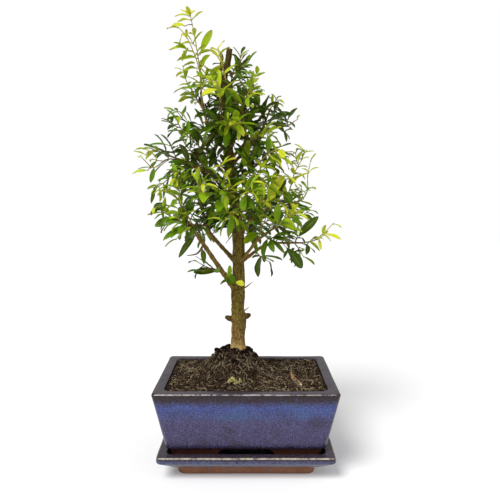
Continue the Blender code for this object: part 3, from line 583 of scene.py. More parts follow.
# The soil is peat with bark crumbs and coarse fibres, heaped round the trunk and sunk a little
# at the rim. Some moss has started on it.
SOIL_EDGE = 94.5 * MM
MOUND_HEIGHT = 31 * MM
MOUND_REACH = 35 * MM
MOUND_STEEPNESS = 3.0
MOUND_X = -14 * MM
BORDER_RISE = 1.4 * MM
BORDER_WIDTH = 5 * MM
TRUNK_X = -10 * MM
TRUNK_Y = 8 * MM
SOIL_LENGTH = BOWL_LENGTH - 1.6 * MM
SOIL_WIDTH = BOWL_WIDTH - 1.6 * MM
SOIL_CORNER = 9 * MM
SOIL_COLUMNS = 220
SOIL_ROWS = 158
# The clods that roughen the surface: how far apart, and how high.
CLODS = [(16 * MM, 1.6 * MM), (7 * MM, 1.6 * MM), (3 * MM, 1.2 * MM), (1.5 * MM, 0.6 * MM)]


def soil_height(x, y):
    """The surface of the soil: its level, its mound, and clods of several sizes."""
    away = math.hypot(x - MOUND_X, y - TRUNK_Y)
    mound = MOUND_HEIGHT * math.exp(-((away / MOUND_REACH) ** MOUND_STEEPNESS))
    clods = sum(height * noise.noise(Vector((x, y, 0.37)) / size) for size, height in CLODS)
    edge = min(SOIL_LENGTH / 2 - abs(x), SOIL_WIDTH / 2 - abs(y))
    calm = min(1, 0.4 + edge / (12 * MM))
    rise = BORDER_RISE * math.exp(-((edge / BORDER_WIDTH) ** 2))
    return SOIL_EDGE + mound + rise + clods * calm * (1 + 1.1 * mound / MOUND_HEIGHT)


def round_corner(x, y):
    """The place moved in, where it lies in a corner, so that the soil's corners are round."""
    over_x = abs(x) - (SOIL_LENGTH / 2 - SOIL_CORNER)
    over_y = abs(y) - (SOIL_WIDTH / 2 - SOIL_CORNER)
    if over_x <= 0 or over_y <= 0:
        return x, y
    shrink = 1 - max(over_x, over_y) / math.hypot(over_x, over_y)
    return x - math.copysign(over_x * shrink, x), y - math.copysign(over_y * shrink, y)


soil_finish = Finish("peaty soil", 0.95)
soil_finish.set("Specular IOR Level", 0.05)
soil_where, _, _, soil_z = soil_finish.place()
soil_broad = soil_finish.grain(soil_where, 9 * MM, 4)
soil_fine = soil_finish.grain(soil_where, 1.3 * MM, 5, 0.75)
soil_heaped = soil_z.between(SOIL_EDGE + 10 * MM, SOIL_EDGE + 26 * MM)
soil_colour = soil_finish.over(
    soil_finish.mix(soil_broad, linear(44, 33, 24), linear(84, 66, 50)),
    # Painted shade: the hollows of the fine grain, which the bump sinks, are near black.
    (soil_fine.between(0.56, 0.45), linear(8, 5, 4)),
    (soil_fine.between(0.57, 0.70) * 0.8, linear(140, 120, 96)),
    (soil_heaped * 0.7, linear(22, 17, 16)),
)
soil_finish.set("Base Color", soil_colour)
soil_finish.bump(soil_fine, 1.2 * MM)

soil_bm = bmesh.new()
soil_rows = []
for row in range(SOIL_ROWS + 1):
    verts = []
    for column in range(SOIL_COLUMNS + 1):
        x = SOIL_LENGTH * (column / SOIL_COLUMNS - 0.5)
        y = SOIL_WIDTH * (row / SOIL_ROWS - 0.5)
        x, y = round_corner(x, y)
        verts.append(soil_bm.verts.new((x, y, soil_height(x, y))))
    soil_rows.append(verts)
for near, far in zip(soil_rows, soil_rows[1:]):
    for i in range(SOIL_COLUMNS):
        soil_bm.faces.new([near[i], near[i + 1], far[i + 1], far[i]])
soil_border = (
    soil_rows[0]
    + [row[-1] for row in soil_rows[1:-1]]
    + list(reversed(soil_rows[-1]))
    + [row[0] for row in reversed(soil_rows[1:-1])]
)
soil_bottom = POT_FLOOR + 0.5 * MM
narrow_x = 1 - BOWL_TAPER / SOIL_LENGTH
narrow_y = 1 - BOWL_TAPER / SOIL_WIDTH
base_ring = [
    soil_bm.verts.new((vert.co.x * narrow_x, vert.co.y * narrow_y, soil_bottom)) for vert in soil_border
]
for i, vert in enumerate(soil_border):
    j = (i + 1) % len(soil_border)
    soil_bm.faces.new([base_ring[i], base_ring[j], soil_border[j], vert])
soil_bm.faces.new(list(reversed(base_ring)))
soil = piece_from("soil_bed", soil_bm, soil_finish, 80)
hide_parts("soil")


class Build:
    """Points, faces and the values that a material reads at each point, gathered for one mesh."""

    def __init__(self, *names):
        self.points = []
        self.faces = []
        self.looks = []
        self.values = {name: [] for name in names}

    def rings(self, rings, look=0, **values):
        """Joins rings of points into a closed form. Each value is one number, or one a point."""
        first = len(self.points)
        count = len(rings[0])
        for ring in rings:
            self.points += ring
        for name, kept in self.values.items():
            given = values.get(name, 0.0)
            kept += given if isinstance(given, list) else [given] * (count * len(rings))
        for k in range(len(rings) - 1):
            low = first + k * count
            for i in range(count):
                j = (i + 1) % count
                self.faces.append((low + i, low + j, low + count + j, low + count + i))
        self.faces.append(tuple(reversed(range(first, first + count))))
        last = first + (len(rings) - 1) * count
        self.faces.append(tuple(range(last, last + count)))
        self.looks += [look] * (len(self.faces) - len(self.looks))

    def piece(self, name, finishes, sharp=60):
        mesh = bpy.data.meshes.new(name)
        mesh.from_pydata(self.points, [], self.faces)
        for value_name, numbers in self.values.items():
            mesh.attributes.new(value_name, "FLOAT", "POINT").data.foreach_set("value", numbers)
        piece = dressed(name, mesh, finishes, sharp)
        mesh.polygons.foreach_set("material_index", self.looks)
        return piece


def direction_at(route, i):
    return (route[min(i + 1, len(route) - 1)] - route[max(i - 1, 0)]).normalized()


def ring_round(centre, radius, direction, across, sides):
    """Points on a circle that faces the direction, from the one that lies straight across."""
    other = direction.cross(across)
    ring = []
    for side in range(sides):
        angle = 2 * math.pi * side / sides
        ring.append(centre + radius * (math.cos(angle) * across + math.sin(angle) * other))
    return ring


def tube(route, radii, sides):
    """Rings round a route, turned as little as possible from one to the next."""
    rings = []
    across = direction_at(route, 0).orthogonal().normalized()
    for i, point in enumerate(route):
        direction = direction_at(route, i)
        across = (across - direction * across.dot(direction)).normalized()
        rings.append(ring_round(point, radii[i], direction, across, sides))
    return rings


def spot_on_soil(draw):
    x = draw.uniform(-0.5, 0.5) * (SOIL_LENGTH - 5 * MM)
    y = draw.uniform(-0.5, 0.5) * (SOIL_WIDTH - 5 * MM)
    x, y = round_corner(x, y)
    return Vector((x, y, soil_height(x, y)))


def spot_on_mound(draw, nearest, spread):
    """A place on the mound, mostly near the trunk."""
    around = draw.uniform(0, 2 * math.pi)
    reach = nearest + abs(draw.gauss(0, spread))
    x = TRUNK_X + reach * math.cos(around)
    y = TRUNK_Y + reach * math.sin(around)
    return Vector((x, y, soil_height(x, y)))


UP = Vector((0, 0, 1))


def add_crumb(build, draw, centre, size, tone):
    """A rough lump, lying any way round."""
    axis = Vector((draw.gauss(0, 1), draw.gauss(0, 1), draw.gauss(0, 0.5))).normalized()
    long = size * draw.uniform(0.9, 2.0)
    start = centre - axis * long / 2 + UP * size * 0.2
    route = [start + axis * long * share for share in (0, 0.2, 0.55, 0.85, 1)]
    radii = [size * share * draw.uniform(0.75, 1.25) for share in (0.22, 0.5, 0.55, 0.4, 0.15)]
    rings = tube(route, radii, 6)
    for ring in rings:
        for point in ring:
            point += 0.16 * size * noise.noise_vector(point / (0.6 * size))
    build.rings(rings, tone=tone)


CRUMBS = 2500
CLUMPS = 380
LARGE_CLUMPS = 0.12
crumbs = Build("tone")
draw = random.Random("crumbs")
for _ in range(CRUMBS):
    centre = spot_on_soil(draw) if draw.random() < 0.7 else spot_on_mound(draw, 10 * MM, 22 * MM)
    add_crumb(crumbs, draw, centre, draw.uniform(0.5, 1.7) * MM, draw.random())
for _ in range(CLUMPS):
    centre = spot_on_mound(draw, 11 * MM, 8 * MM)
    centre.z += draw.uniform(-0.6, 0.9) * MM
    size = draw.uniform(0.9, 2.2) * (1.9 if draw.random() < LARGE_CLUMPS else 1) * MM
    add_crumb(crumbs, draw, centre, size, 0.5 * draw.random())
# Dark bits of root and bark stick up where the soil meets the trunk: (x, y, size), in millimetres.
ROOT_BITS = [
    (-34.5, 7, 5.2), (-32, 3, 3.2), (-27, 6, 4.0), (-23.5, 3, 3.2), (-21, 9, 3.4), (-24, -4, 3.4),
    (2, 7, 4.2), (0, 2, 3.4), (6, 5, 3.6), (11, 7, 3.2), (-16, -5, 3.0), (-4, -6, 3.4), (7, -4, 3.0),
]
for x, y, size in ROOT_BITS:
    spot = Vector((x, y, 0)) * MM
    spot.z = soil_height(spot.x, spot.y) + 0.3 * size * MM
    add_crumb(crumbs, draw, spot, size * MM, 0.1)
crumb_finish = Finish("bark crumbs", 0.9)
crumb_finish.set("Specular IOR Level", 0.05)
crumb_tone = crumb_finish.attribute("tone")
crumb_grain = crumb_finish.grain(crumb_finish.place()[0], 0.9 * MM, 4, 0.7)
crumb_stops = [
    (0.0, 12, 8, 7), (0.3, 34, 26, 21), (0.6, 70, 54, 42), (0.85, 110, 90, 68), (1.0, 172, 150, 118),
]
crumb_shade = crumb_tone * 0.8 + (crumb_grain - 0.5) * 0.5 + 0.05
crumb_finish.set("Base Color", crumb_finish.ramp(crumb_shade, crumb_stops))
crumb_finish.bump(crumb_grain, 0.5 * MM)
crumb_piece = crumbs.piece("soil_crumbs", [crumb_finish], 50)

# The fibres: short ones, and fewer long ones, curled over the surface and the crumbs.
FIBRES = 2600
SHORT_FIBRES = 0.65
FIBRE_STEPS = 6
fibres = Build("tone")
draw = random.Random("fibres")
for number in range(FIBRES):
    on_mound = number % 5 == 0
    point = spot_on_mound(draw, 12 * MM, 16 * MM) if on_mound else spot_on_soil(draw)
    heading = draw.uniform(0, 2 * math.pi)
    length = (draw.uniform(1.5, 4) if draw.random() < SHORT_FIBRES else draw.uniform(4, 11)) * MM
    turn = draw.uniform(-2.6, 2.6)
    lift = draw.uniform(0, 0.9 if on_mound else 0.45)
    route = []
    for step in range(FIBRE_STEPS + 1):
        share = step / FIBRE_STEPS
        arch = lift * length * share * (1 - share * 0.8)
        route.append(Vector((point.x, point.y, soil_height(point.x, point.y) + arch + 0.2 * MM)))
        angle = heading + turn * share
        point = point + Vector((math.cos(angle), math.sin(angle), 0)) * length / FIBRE_STEPS
        point.x = max(-SOIL_LENGTH / 2 + MM, min(SOIL_LENGTH / 2 - MM, point.x))
        point.y = max(-SOIL_WIDTH / 2 + MM, min(SOIL_WIDTH / 2 - MM, point.y))
    thick = (0.08 + 0.3 * draw.random() ** 2) * MM
    away = math.hypot(route[0].x - TRUNK_X, route[0].y - TRUNK_Y)
    tone = draw.random() ** 1.6 * (0.35 + 0.65 * min(1, away / (34 * MM)))
    fibres.rings(tube(route, [thick] * len(route), 4), tone=tone)
fibre_finish = Finish("peat fibres", 0.8)
fibre_finish.set("Specular IOR Level", 0.1)
fibre_tone = fibre_finish.attribute("tone")
fibre_grain = fibre_finish.grain(fibre_finish.place()[0], 1.5 * MM)
fibre_shade = fibre_tone * 0.8 + fibre_grain * 0.2
fibre_finish.set("Base Color", fibre_finish.mix(fibre_shade, linear(44, 32, 22), linear(206, 184, 148)))
fibre_piece = fibres.piece("soil_fibres", [fibre_finish], 80)


# The tree. A straight trunk with swellings at old pruning wounds, cut off above a thin leader,
# carries woody limbs. Its bark is thin and finely fissured, paler and browner near the soil.
# Each point is (x, y, z, radius), in millimetres.
TRUNK = [
    (-10, 8, 82, 11.0), (-10, 8, 106, 12.0), (-10, 8, 118, 11.6), (-10, 8, 124, 9.8),
    (-10, 8, 132, 8.2), (-10, 8, 144, 7.8), (-9, 8, 153, 8.4), (-9, 8, 161, 9.0),
    (-10, 7, 170, 7.7), (-10, 7, 181, 7.3), (-10, 6, 191, 8.0), (-10, 6, 200, 8.4),
    (-9, 5, 210, 7.1), (-9, 5, 222, 6.7), (-9, 4, 236, 7.0), (-9, 4, 250, 7.2),
    (-10, 4, 264, 6.5), (-11, 3, 279, 6.2), (-13, 2, 295, 5.8), (-16, 2, 314, 5.4),
    (-18, 2, 334, 5.3), (-20, 3, 356, 5.4), (-20, 4, 378, 5.8), (-21, 5, 393, 5.5),
]
LEADER = [
    (-21, 5, 378, 3.4), (-24, 6, 405, 3.6), (-26, 7, 422, 3.4), (-24, 8, 440, 3.2),
    (-21, 8, 456, 3.5), (-19, 8, 470, 3.4),
]
STUBS = {
    "left stub": [(-10, 8, 159, 3.6), (-18, 7, 160, 3.4), (-25, 6, 161, 3.2)],
    "right stub": [(-9, 8, 160, 3.6), (-2, 7, 162, 3.2), (5, 6, 163, 2.9)],
    "side leader": [(-25, 7, 424, 2.6), (-29, 7, 437, 2.2), (-28, 8, 462, 1.5)],
    "low spine": [(-6, 5, 169, 1.1), (-2, 4, 171, 0.8), (3, 3, 175, 0.3)],
    "middle spine": [(-6, 4, 196, 1.2), (0, 3, 199, 0.8), (7, 1, 205, 0.3)],
    "bare twig": [(-23, 8, 412, 1.6), (-4, 11, 421, 1.1), (13, 14, 433, 0.4)],
    "dead twig": [(-48, -17, 249, 1.4), (-55, -20, 240, 0.9), (-66, -24, 238, 0.4)],
}
# Each limb is (radius at its foot, radius at its tip, points), in millimetres.
LIMBS = {
    "low_left": (
        3.4, 1.8, [(-10, 5, 190), (-28, -3, 218), (-38, -10, 234), (-46, -16, 247), (-64, -28, 276)],
    ),
    "rear_left": (
        3.0, 1.6, [(-9, 5, 224), (-32, 14, 248), (-45, 24, 263), (-52, 32, 283), (-58, 38, 300)],
    ),
    "mid_left": (2.8, 1.3, [(-15, 2, 312), (-41, -2, 329), (-70, -10, 343), (-94, -14, 352)]),
    "high_left": (
        2.8, 1.5, [(-20, 3, 353), (-34, 10, 368), (-44, 16, 385), (-50, 20, 406), (-53, 22, 425)],
    ),
    "low_right": (2.8, 1.6, [(-9, 4, 226), (4, -6, 243), (12, -14, 254), (32, -30, 270)]),
    "far_right": (2.8, 1.3, [(-9, 5, 226), (2, 12, 233), (18, 20, 244), (34, 26, 248), (68, 33, 248)]),
    "mid_right": (3.0, 1.5, [(-10, 3, 259), (8, 8, 279), (22, 14, 288), (40, 18, 292), (54, 20, 296)]),
    "front_right": (2.2, 1.3, [(-16, 2, 314), (1, -10, 329), (17, -28, 343)]),
    "high_right": (
        2.8, 1.4, [(-19, 2, 338), (-2, 8, 355), (18, 18, 381), (24, 22, 396), (28, 24, 406)],
    ),
    "outer_right": (1.6, 1.1, [(18, 18, 381), (31, 22, 383), (51, 28, 388)]),
    "high_front": (2.4, 1.3, [(-19, 2, 345), (-1, -8, 367), (-4, -16, 391), (-21, -22, 427)]),
    "rear_low": (2.8, 1.5, [(-9, 4, 254), (1, 28, 271), (10, 50, 286), (18, 68, 300)]),
    "rear_mid": (2.6, 1.4, [(-13, 2, 294), (-26, 26, 309), (-48, 66, 337)]),
    "rear_high": (2.2, 1.3, [(-20, 3, 351), (-15, 22, 370), (-7, 52, 408)]),
    "front_low": (2.4, 1.3, [(-11, 3, 270), (-7, -20, 281), (0, -58, 302)]),
    "front_mid": (2.2, 1.3, [(-13, 2, 286), (-21, -20, 290), (-40, -58, 304)]),
    "front_high": (2.2, 1.2, [(-20, 4, 365), (-25, -16, 377), (-27, -42, 403)]),
}
# The spacing of the points of the route that each limb follows, and of its rings, in millimetres.
LIMB_STEP = 20
RING_STEP = 2
TRUNK_SIDES = 48
LEADER_SIDES = 24
STUB_SIDES = 20
SPINE_SIDES = 12
LIMB_SIDES = 14


def millimetres(route):
    return [Vector(point[:3]) * MM for point in route]


def smooth_route(points, spacing):
    """Points at about the spacing on a smooth curve through the given ones."""
    padded = [2 * points[0] - points[1], *points, 2 * points[-1] - points[-2]]
    route = []
    for before, start, end, after in zip(padded, padded[1:], padded[2:], padded[3:]):
        steps = max(1, round((end - start).length / spacing))
        for step in range(steps):
            t = step / steps
            route.append(
                0.5 * (
                    2 * start
                    + (end - before) * t
                    + (2 * before - 5 * start + 4 * end - after) * t ** 2
                    + (3 * start - before - 3 * end + after) * t ** 3
                )
            )
    return route + [points[-1]]


def route_length(route):
    return sum((end - start).length for start, end in zip(route, route[1:]))


def along(route, distance):
    """The point and the direction at a distance along a route."""
    for start, end in zip(route, route[1:]):
        stretch = (end - start).length
        if distance <= stretch:
            return start.lerp(end, distance / stretch), (end - start).normalized()
        distance -= stretch
    return route[-1].copy(), (route[-1] - route[-2]).normalized()


def tapering(route, thick, thin):
    """A radius for each point of the route, in metres."""
    whole = route_length(route)
    radii = []
    gone = 0
    for i, point in enumerate(route):
        if i:
            gone += (point - route[i - 1]).length
        radii.append((thick + (thin - thick) * gone / whole) * MM)
    return radii


def fine_route(points, spacing):
    """A finer smooth route through (x, y, z, radius) points, with a radius for each point."""
    places = millimetres(points)
    radii = []
    for i in range(1, len(points)):
        thick, thin = points[i - 1][3] * MM, points[i][3] * MM
        steps = max(1, round((places[i] - places[i - 1]).length / spacing))
        for step in range(steps):
            t = step / steps
            radii.append(thick + (thin - thick) * t * t * (3 - 2 * t))
    return smooth_route(places, spacing), radii + [points[-1][3] * MM]


def barked(rings, depth, ridge):
    """Rings pushed in and out along fissures that run with the wood, and in slow swellings."""
    shaped = []
    for ring in rings:
        centre = sum(ring, Vector()) / len(ring)
        row = []
        for point in ring:
            out = (point - centre).normalized()
            spot = Vector((point.x / ridge, point.y / ridge, point.z / (4 * ridge)))
            furrow = noise.noise(spot) + 0.5 * noise.noise(2.3 * spot)
            wart = max(0, noise.noise(point / (0.8 * ridge)) - 0.25) * 2
            swelling = noise.noise(point / (9 * MM))
            row.append(point + out * depth * (furrow + wart + 1.6 * swelling))
        shaped.append(row)
    return shaped


wood_finish = Finish("bark", 0.85)
wood_finish.set("Specular IOR Level", 0.1)
wood_where, _, _, wood_z = wood_finish.place()
wood_age = wood_finish.attribute("age")
wood_cut = wood_finish.attribute("cut")
wood_fissure = wood_finish.grain(wood_where, 1.6 * MM, 5, 0.7, (1, 1, 0.3))
wood_patch = wood_finish.grain(wood_where, 8 * MM, 4, 0.65, (1, 1, 0.6))
wood_speck = wood_finish.grain(wood_where, 1.5 * MM, 3, 0.6, (1, 1, 1.6))
wood_mark = wood_finish.grain(wood_where, 2.6 * MM, 2, 0.5, (0.5, 0.5, 2))
wood_ridge = wood_fissure.between(0.3, 0.7)
wood_low = wood_finish.mix(wood_ridge, linear(80, 56, 22), linear(170, 136, 82))
wood_high = wood_finish.mix(wood_ridge, linear(60, 47, 13), linear(146, 126, 54))
wood_young = wood_finish.mix(wood_ridge, linear(92, 66, 26), linear(172, 138, 72))
wood_scar = wood_z.between(139 * MM, 126 * MM) * wood_patch.between(0.38, 0.52)
wood_colour = wood_finish.over(
    wood_low,
    ((wood_z + wood_patch * 30 * MM).between(150 * MM, 190 * MM), wood_high),
    ((1 - wood_age).between(0.2, 0.6), wood_young),
    (wood_patch.between(0.52, 0.68) * 0.5, linear(74, 80, 24)),
    (wood_patch.between(0.44, 0.30) * 0.5, linear(52, 38, 18)),
    (wood_speck.between(0.41, 0.33) * 0.8, linear(34, 24, 10)),
    (wood_speck.between(0.58, 0.68) * 0.6, linear(186, 162, 108)),
    (wood_mark.between(0.40, 0.34) * 0.7, linear(40, 27, 12)),
    (wood_scar * 0.75, linear(220, 186, 114)),
    (wood_z.between(400 * MM, 440 * MM) * 0.6, linear(38, 30, 14)),
)
wood_sawn = wood_finish.mix(wood_speck, linear(30, 20, 10), linear(84, 60, 34))
wood_finish.set("Base Color", wood_finish.mix(wood_cut, wood_colour, wood_sawn))
wood_finish.bump(wood_fissure + 0.8 * wood_speck + 0.6 * wood_mark, 1.3 * MM)

wood = Build("age", "cut")
for points, spacing, sides, depth, ridge, age in (
    (TRUNK, 1.3 * MM, TRUNK_SIDES, 0.6 * MM, 2.2 * MM, 1.0),
    (LEADER, 1.4 * MM, LEADER_SIDES, 0.3 * MM, 1.4 * MM, 0.9),
):
    rings = barked(tube(*fine_route(points, spacing), sides), depth, ridge)
    # The last ring is the sawn end.
    wood.rings(rings, age=age, cut=[0.0] * (sides * (len(rings) - 1)) + [1.0] * sides)
# The pruned stubs, and how far each bends up at its end, in millimetres. The others are spines
# and thin twigs.
STUB_BENDS = {"left stub": 1.5, "right stub": 2.5}
# Their thickness along their length, as a share: a flared foot, a waist and a rough round end.
STUB_SHARES = [1.5, 1.12, 0.92, 0.85, 0.9, 1.02, 1.05, 0.9, 0.5]
for name, points in STUBS.items():
    route, radii = fine_route(points, 1.0 * MM)
    if name not in STUB_BENDS:
        wood.rings(barked(tube(route, radii, SPINE_SIDES), 0.1 * MM, 1.2 * MM), age=0.3)
        continue
    for i in range(len(route)):
        share = i / (len(route) - 1)
        route[i] = route[i] + UP * STUB_BENDS[name] * MM * share * share
        place = share * (len(STUB_SHARES) - 1)
        step = min(int(place), len(STUB_SHARES) - 2)
        radii[i] *= STUB_SHARES[step] + (STUB_SHARES[step + 1] - STUB_SHARES[step]) * (place - step)
    rings = barked(tube(route, radii, STUB_SIDES), 0.6 * MM, 1.3 * MM)
    sawn = [0.2 + 0.6 * (i // STUB_SIDES) / len(rings) for i in range(STUB_SIDES * len(rings))]
    wood.rings(rings, age=0.9, cut=sawn)
# How thick the limbs are, as a share of the plain solids. A collar where each leaves the trunk and
# faint knots along it add to that. Their reaches are in millimetres.
LIMB_SLIMMING = {"low_left": 0.95, "rear_left": 0.88}
OTHER_SLIMMING = 0.76
COLLAR_RISE = 0.5
COLLAR_REACH = 7
KNOT_RISE = 0.22
KNOT_GAP = 13
limb_routes = {}
for name, (thick, thin, points) in LIMBS.items():
    limb_routes[name] = smooth_route(millimetres(points), LIMB_STEP * MM)
    route = smooth_route(limb_routes[name], RING_STEP * MM)
    radii = tapering(route, thick, thin)
    for i in range(len(route)):
        gone = i * RING_STEP
        collar = COLLAR_RISE * math.exp(-((gone / COLLAR_REACH) ** 2))
        knot = KNOT_RISE * max(0, math.sin(gone / KNOT_GAP * 2 * math.pi)) ** 8
        radii[i] *= LIMB_SLIMMING.get(name, OTHER_SLIMMING) + collar + knot
    wood.rings(barked(tube(route, radii, LIMB_SIDES), 0.2 * MM, 1.3 * MM), age=0.45)
limb_routes["trunk"] = millimetres(TRUNK[:-1] + LEADER[1:])
tree_wood = wood.piece("tree_wood", [wood_finish], 70)
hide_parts("trunk")


# The leafy shoots. Pomegranate leaves are thin, glossy and lance-shaped, in opposite pairs, each
# pair a quarter turn from the last. Young ones are yellow-green, often bronze at the tip.
# Each shoot is (its limb, how far along it, points in millimetres, leaf length, age from 0 to 1).
SPRAYS = {
    "left_outer": ("low_left", 1.00, [(-69, -32, 291), (-77, -36, 305), (-86, -38, 316)], 30, 0.38),
    "left_upright": ("low_left", 0.80, [(-58, -34, 272), (-70, -44, 302), (-72, -50, 331)], 28, 0.42),
    "left_lowest": ("low_left", 0.30, [(-39, -16, 223), (-48, -24, 221)], 34, 0.8),
    "left_far": ("low_left", 0.92, [(-77, -30, 279), (-89, -34, 286), (-96, -38, 293)], 30, 0.38),
    "left_inner": ("rear_left", 1.00, [(-61, 42, 312), (-68, 46, 329), (-69, 48, 341)], 30, 0.6),
    "left_hanging": ("rear_left", 0.60, [(-64, 30, 269), (-77, 36, 262), (-86, 40, 252)], 30, 0.65),
    "left_rear": ("rear_left", 0.35, [(-48, 34, 266), (-58, 50, 262), (-64, 62, 262)], 30, 0.65),
    "left_tip": ("mid_left", 1.00, [(-102, -16, 355), (-111, -18, 349)], 24, 0.3),
    "left_arching": (
        "mid_left", 0.78, [(-88, -20, 344), (-101, -26, 335), (-110, -28, 342), (-115, -30, 348)], 26, 0.36,
    ),
    "left_middle": ("mid_left", 0.55, [(-76, -18, 333), (-89, -24, 320), (-101, -28, 311)], 28, 0.46),
    "left_centre": ("mid_left", 0.35, [(-61, -6, 353), (-70, -4, 364), (-73, -4, 376)], 26, 0.5),
    "top_tall": (
        "high_left", 1.00, [(-53, 22, 446), (-56, 20, 465), (-59, 18, 486), (-64, 14, 510)], 26, 0.15,
    ),
    "top_second": (
        "high_left", 0.85, [(-54, 12, 449), (-60, 8, 467), (-67, 4, 482), (-76, 0, 492)], 24, 0.15,
    ),
    "top_left": ("high_left", 0.70, [(-63, 26, 426), (-71, 30, 440), (-75, 32, 457)], 26, 0.25),
    "upper_left": ("high_left", 0.40, [(-56, 20, 383), (-71, 26, 391), (-82, 30, 404)], 30, 0.5),
    "upper_left_low": (
        "high_left", 0.18, [(-46, -2, 356), (-60, -14, 366), (-70, -22, 376), (-76, -26, 387)], 28, 0.55,
    ),
    "right_inner": ("low_right", 1.00, [(40, -36, 278), (47, -42, 285), (54, -46, 287)], 30, 0.2),
    "right_front": ("low_right", 0.60, [(17, -26, 271), (17, -36, 287), (14, -42, 299)], 32, 0.3),
    "right_hanging": ("far_right", 0.88, [(64, 38, 240), (70, 42, 230)], 30, 0.4),
    "right_far": ("far_right", 1.00, [(82, 34, 251), (94, 34, 260), (105, 33, 272)], 22, 0.15),
    "right_rear": ("far_right", 0.60, [(43, 36, 259), (52, 48, 270), (63, 58, 272)], 30, 0.55),
    "right_low_inner": ("far_right", 0.30, [(19, 26, 230), (29, 38, 224)], 30, 0.65),
    "right_tall": (
        "mid_right", 1.00, [(66, 22, 301), (72, 22, 311), (72, 20, 328), (75, 16, 346)], 22, 0.15,
    ),
    "right_spray": (
        "mid_right", 0.85, [(51, 26, 311), (57, 30, 331), (65, 32, 346), (70, 34, 359)], 26, 0.15,
    ),
    "right_outer": ("mid_right", 0.72, [(48, 26, 283), (64, 30, 281), (78, 34, 288)], 30, 0.35),
    "right_middle": ("mid_right", 0.40, [(25, 4, 304), (35, 0, 316), (44, -4, 328)], 34, 0.25),
    "centre_right": ("front_right", 1.00, [(26, -32, 351), (36, -36, 354)], 32, 0.25),
    "centre_front": ("front_right", 0.55, [(13, -30, 326), (21, -42, 317), (25, -50, 310)], 34, 0.3),
    "high_right_tip": ("high_right", 1.00, [(32, 26, 412), (36, 26, 418)], 20, 0.35),
    "high_right_upright": ("high_right", 0.75, [(18, 28, 407), (9, 32, 421), (4, 34, 436)], 30, 0.5),
    "high_right_low": ("high_right", 0.35, [(18, 18, 361), (29, 26, 359), (40, 32, 352)], 32, 0.45),
    "outer_right_tip": ("outer_right", 1.00, [(56, 30, 392), (61, 31, 395)], 14, 0.4),
    "front_top": ("high_front", 1.00, [(-25, -22, 440), (-28, -22, 453), (-31, -22, 463)], 28, 0.1),
    "front_top_right": ("high_front", 0.62, [(-2, -24, 404), (4, -26, 418), (11, -26, 435)], 28, 0.36),
    "front_upper": ("high_front", 0.35, [(6, -16, 366), (17, -24, 371), (26, -30, 371)], 32, 0.36),
    "crown_right": ("trunk", 0.93, [(-9, 12, 446), (3, 16, 458)], 26, 0.5),
    "crown_rear": ("trunk", 0.86, [(-17, 24, 437), (-10, 34, 452)], 28, 0.6),
    "crown_left": ("trunk", 0.84, [(-36, -2, 424), (-42, -8, 438)], 28, 0.3),
    "rear_low_tip": ("rear_low", 1.00, [(22, 80, 312), (27, 88, 323)], 30, 0.7),
    "rear_low_right": ("rear_low", 0.75, [(32, 62, 295), (47, 66, 302)], 30, 0.7),
    "rear_mid_tip": ("rear_mid", 1.00, [(-57, 78, 348), (-68, 86, 356)], 30, 0.65),
    "rear_mid_side": ("rear_mid", 0.60, [(-18, 54, 327), (-6, 64, 339)], 30, 0.7),
    "rear_high_tip": ("rear_high", 1.00, [(-3, 62, 420), (2, 68, 433)], 28, 0.65),
    "rear_high_left": ("rear_high", 0.50, [(-30, 44, 386), (-42, 54, 402)], 30, 0.65),
    "front_low_tip": ("front_low", 1.00, [(2, -70, 310), (7, -80, 318)], 28, 0.35),
    "front_low_left": ("front_low", 0.60, [(-15, -44, 285), (-25, -54, 277)], 34, 0.35),
    "front_mid_tip": ("front_mid", 1.00, [(-46, -70, 310), (-49, -80, 318)], 30, 0.25),
    "front_mid_up": ("front_mid", 0.50, [(-25, -34, 306), (-23, -46, 324), (-26, -52, 337)], 32, 0.2),
    "front_high_tip": ("front_high", 1.00, [(-28, -50, 414), (-33, -56, 423)], 28, 0.2),
    "front_high_right": ("front_high", 0.50, [(-15, -38, 378), (-6, -50, 381)], 32, 0.36),
    "trunk_low": ("trunk", 0.31, [(-19, -5, 211), (-23, -9, 217)], 20, 0.3),
}
# The shoots grow here by the rule and the seeds of the solids, so that each of the main leaves
# stands where its solid is. These are the solids' own sizes, and the shapes that hold a place.
CLEARANCE = 0.3 * MM
PAIR_GAP = 19 * MM
PAIR_START = 8 * MM
LEAF_THICKNESS = 0.9 * MM
PETIOLE_HALF = 0.5 * MM
LONG_LEAF = 27 * MM
SHORT_BLADE = [(0, 0), (0.5, 1), (1, 0)]
LONG_BLADE = [(0, 0), (0.33, 0.95), (0.7, 0.85), (1, 0)]
PROBE_BLADE = [(0.2, 0.6), (0.5, 1), (0.77, 0.72), (1, 0)]
PROBE_MARGIN = 0.4 * MM
# Side shoots leave a main one at this gap, each turned from the last by the golden angle.
SHOOT_GAP = 40 * MM
FIRST_SHOOT = 14 * MM
LAST_SHOOT = 8 * MM
SHOOT_SIZE = 0.8
GOLDEN_ANGLE = math.radians(137.5)
TWIG_STEP = 16 * MM
# The radii of a main twig and a side shoot at their foot, and of both at their tip, in
# millimetres. The twigs that show are slimmer by the last share.
TWIG_START = 1.1
SHOOT_START = 0.8
TWIG_TIP = 0.6
TWIG_SPACE = 1.3
SHOWN_TWIG = 0.72
# Smaller leaves fill the gaps between the main pairs, at this spacing.
FILL_GAP = 8.5 * MM
# The shoots that are too young, or too far in the shade, to have leaves between their main pairs.
SPARSE = {
    "top_tall", "top_second", "left_lowest", "trunk_low", "right_low_inner", "right_hanging",
    "right_far", "right_tall", "left_hanging", "outer_right_tip", "left_arching", "front_top",
    "centre_right", "right_middle",
}


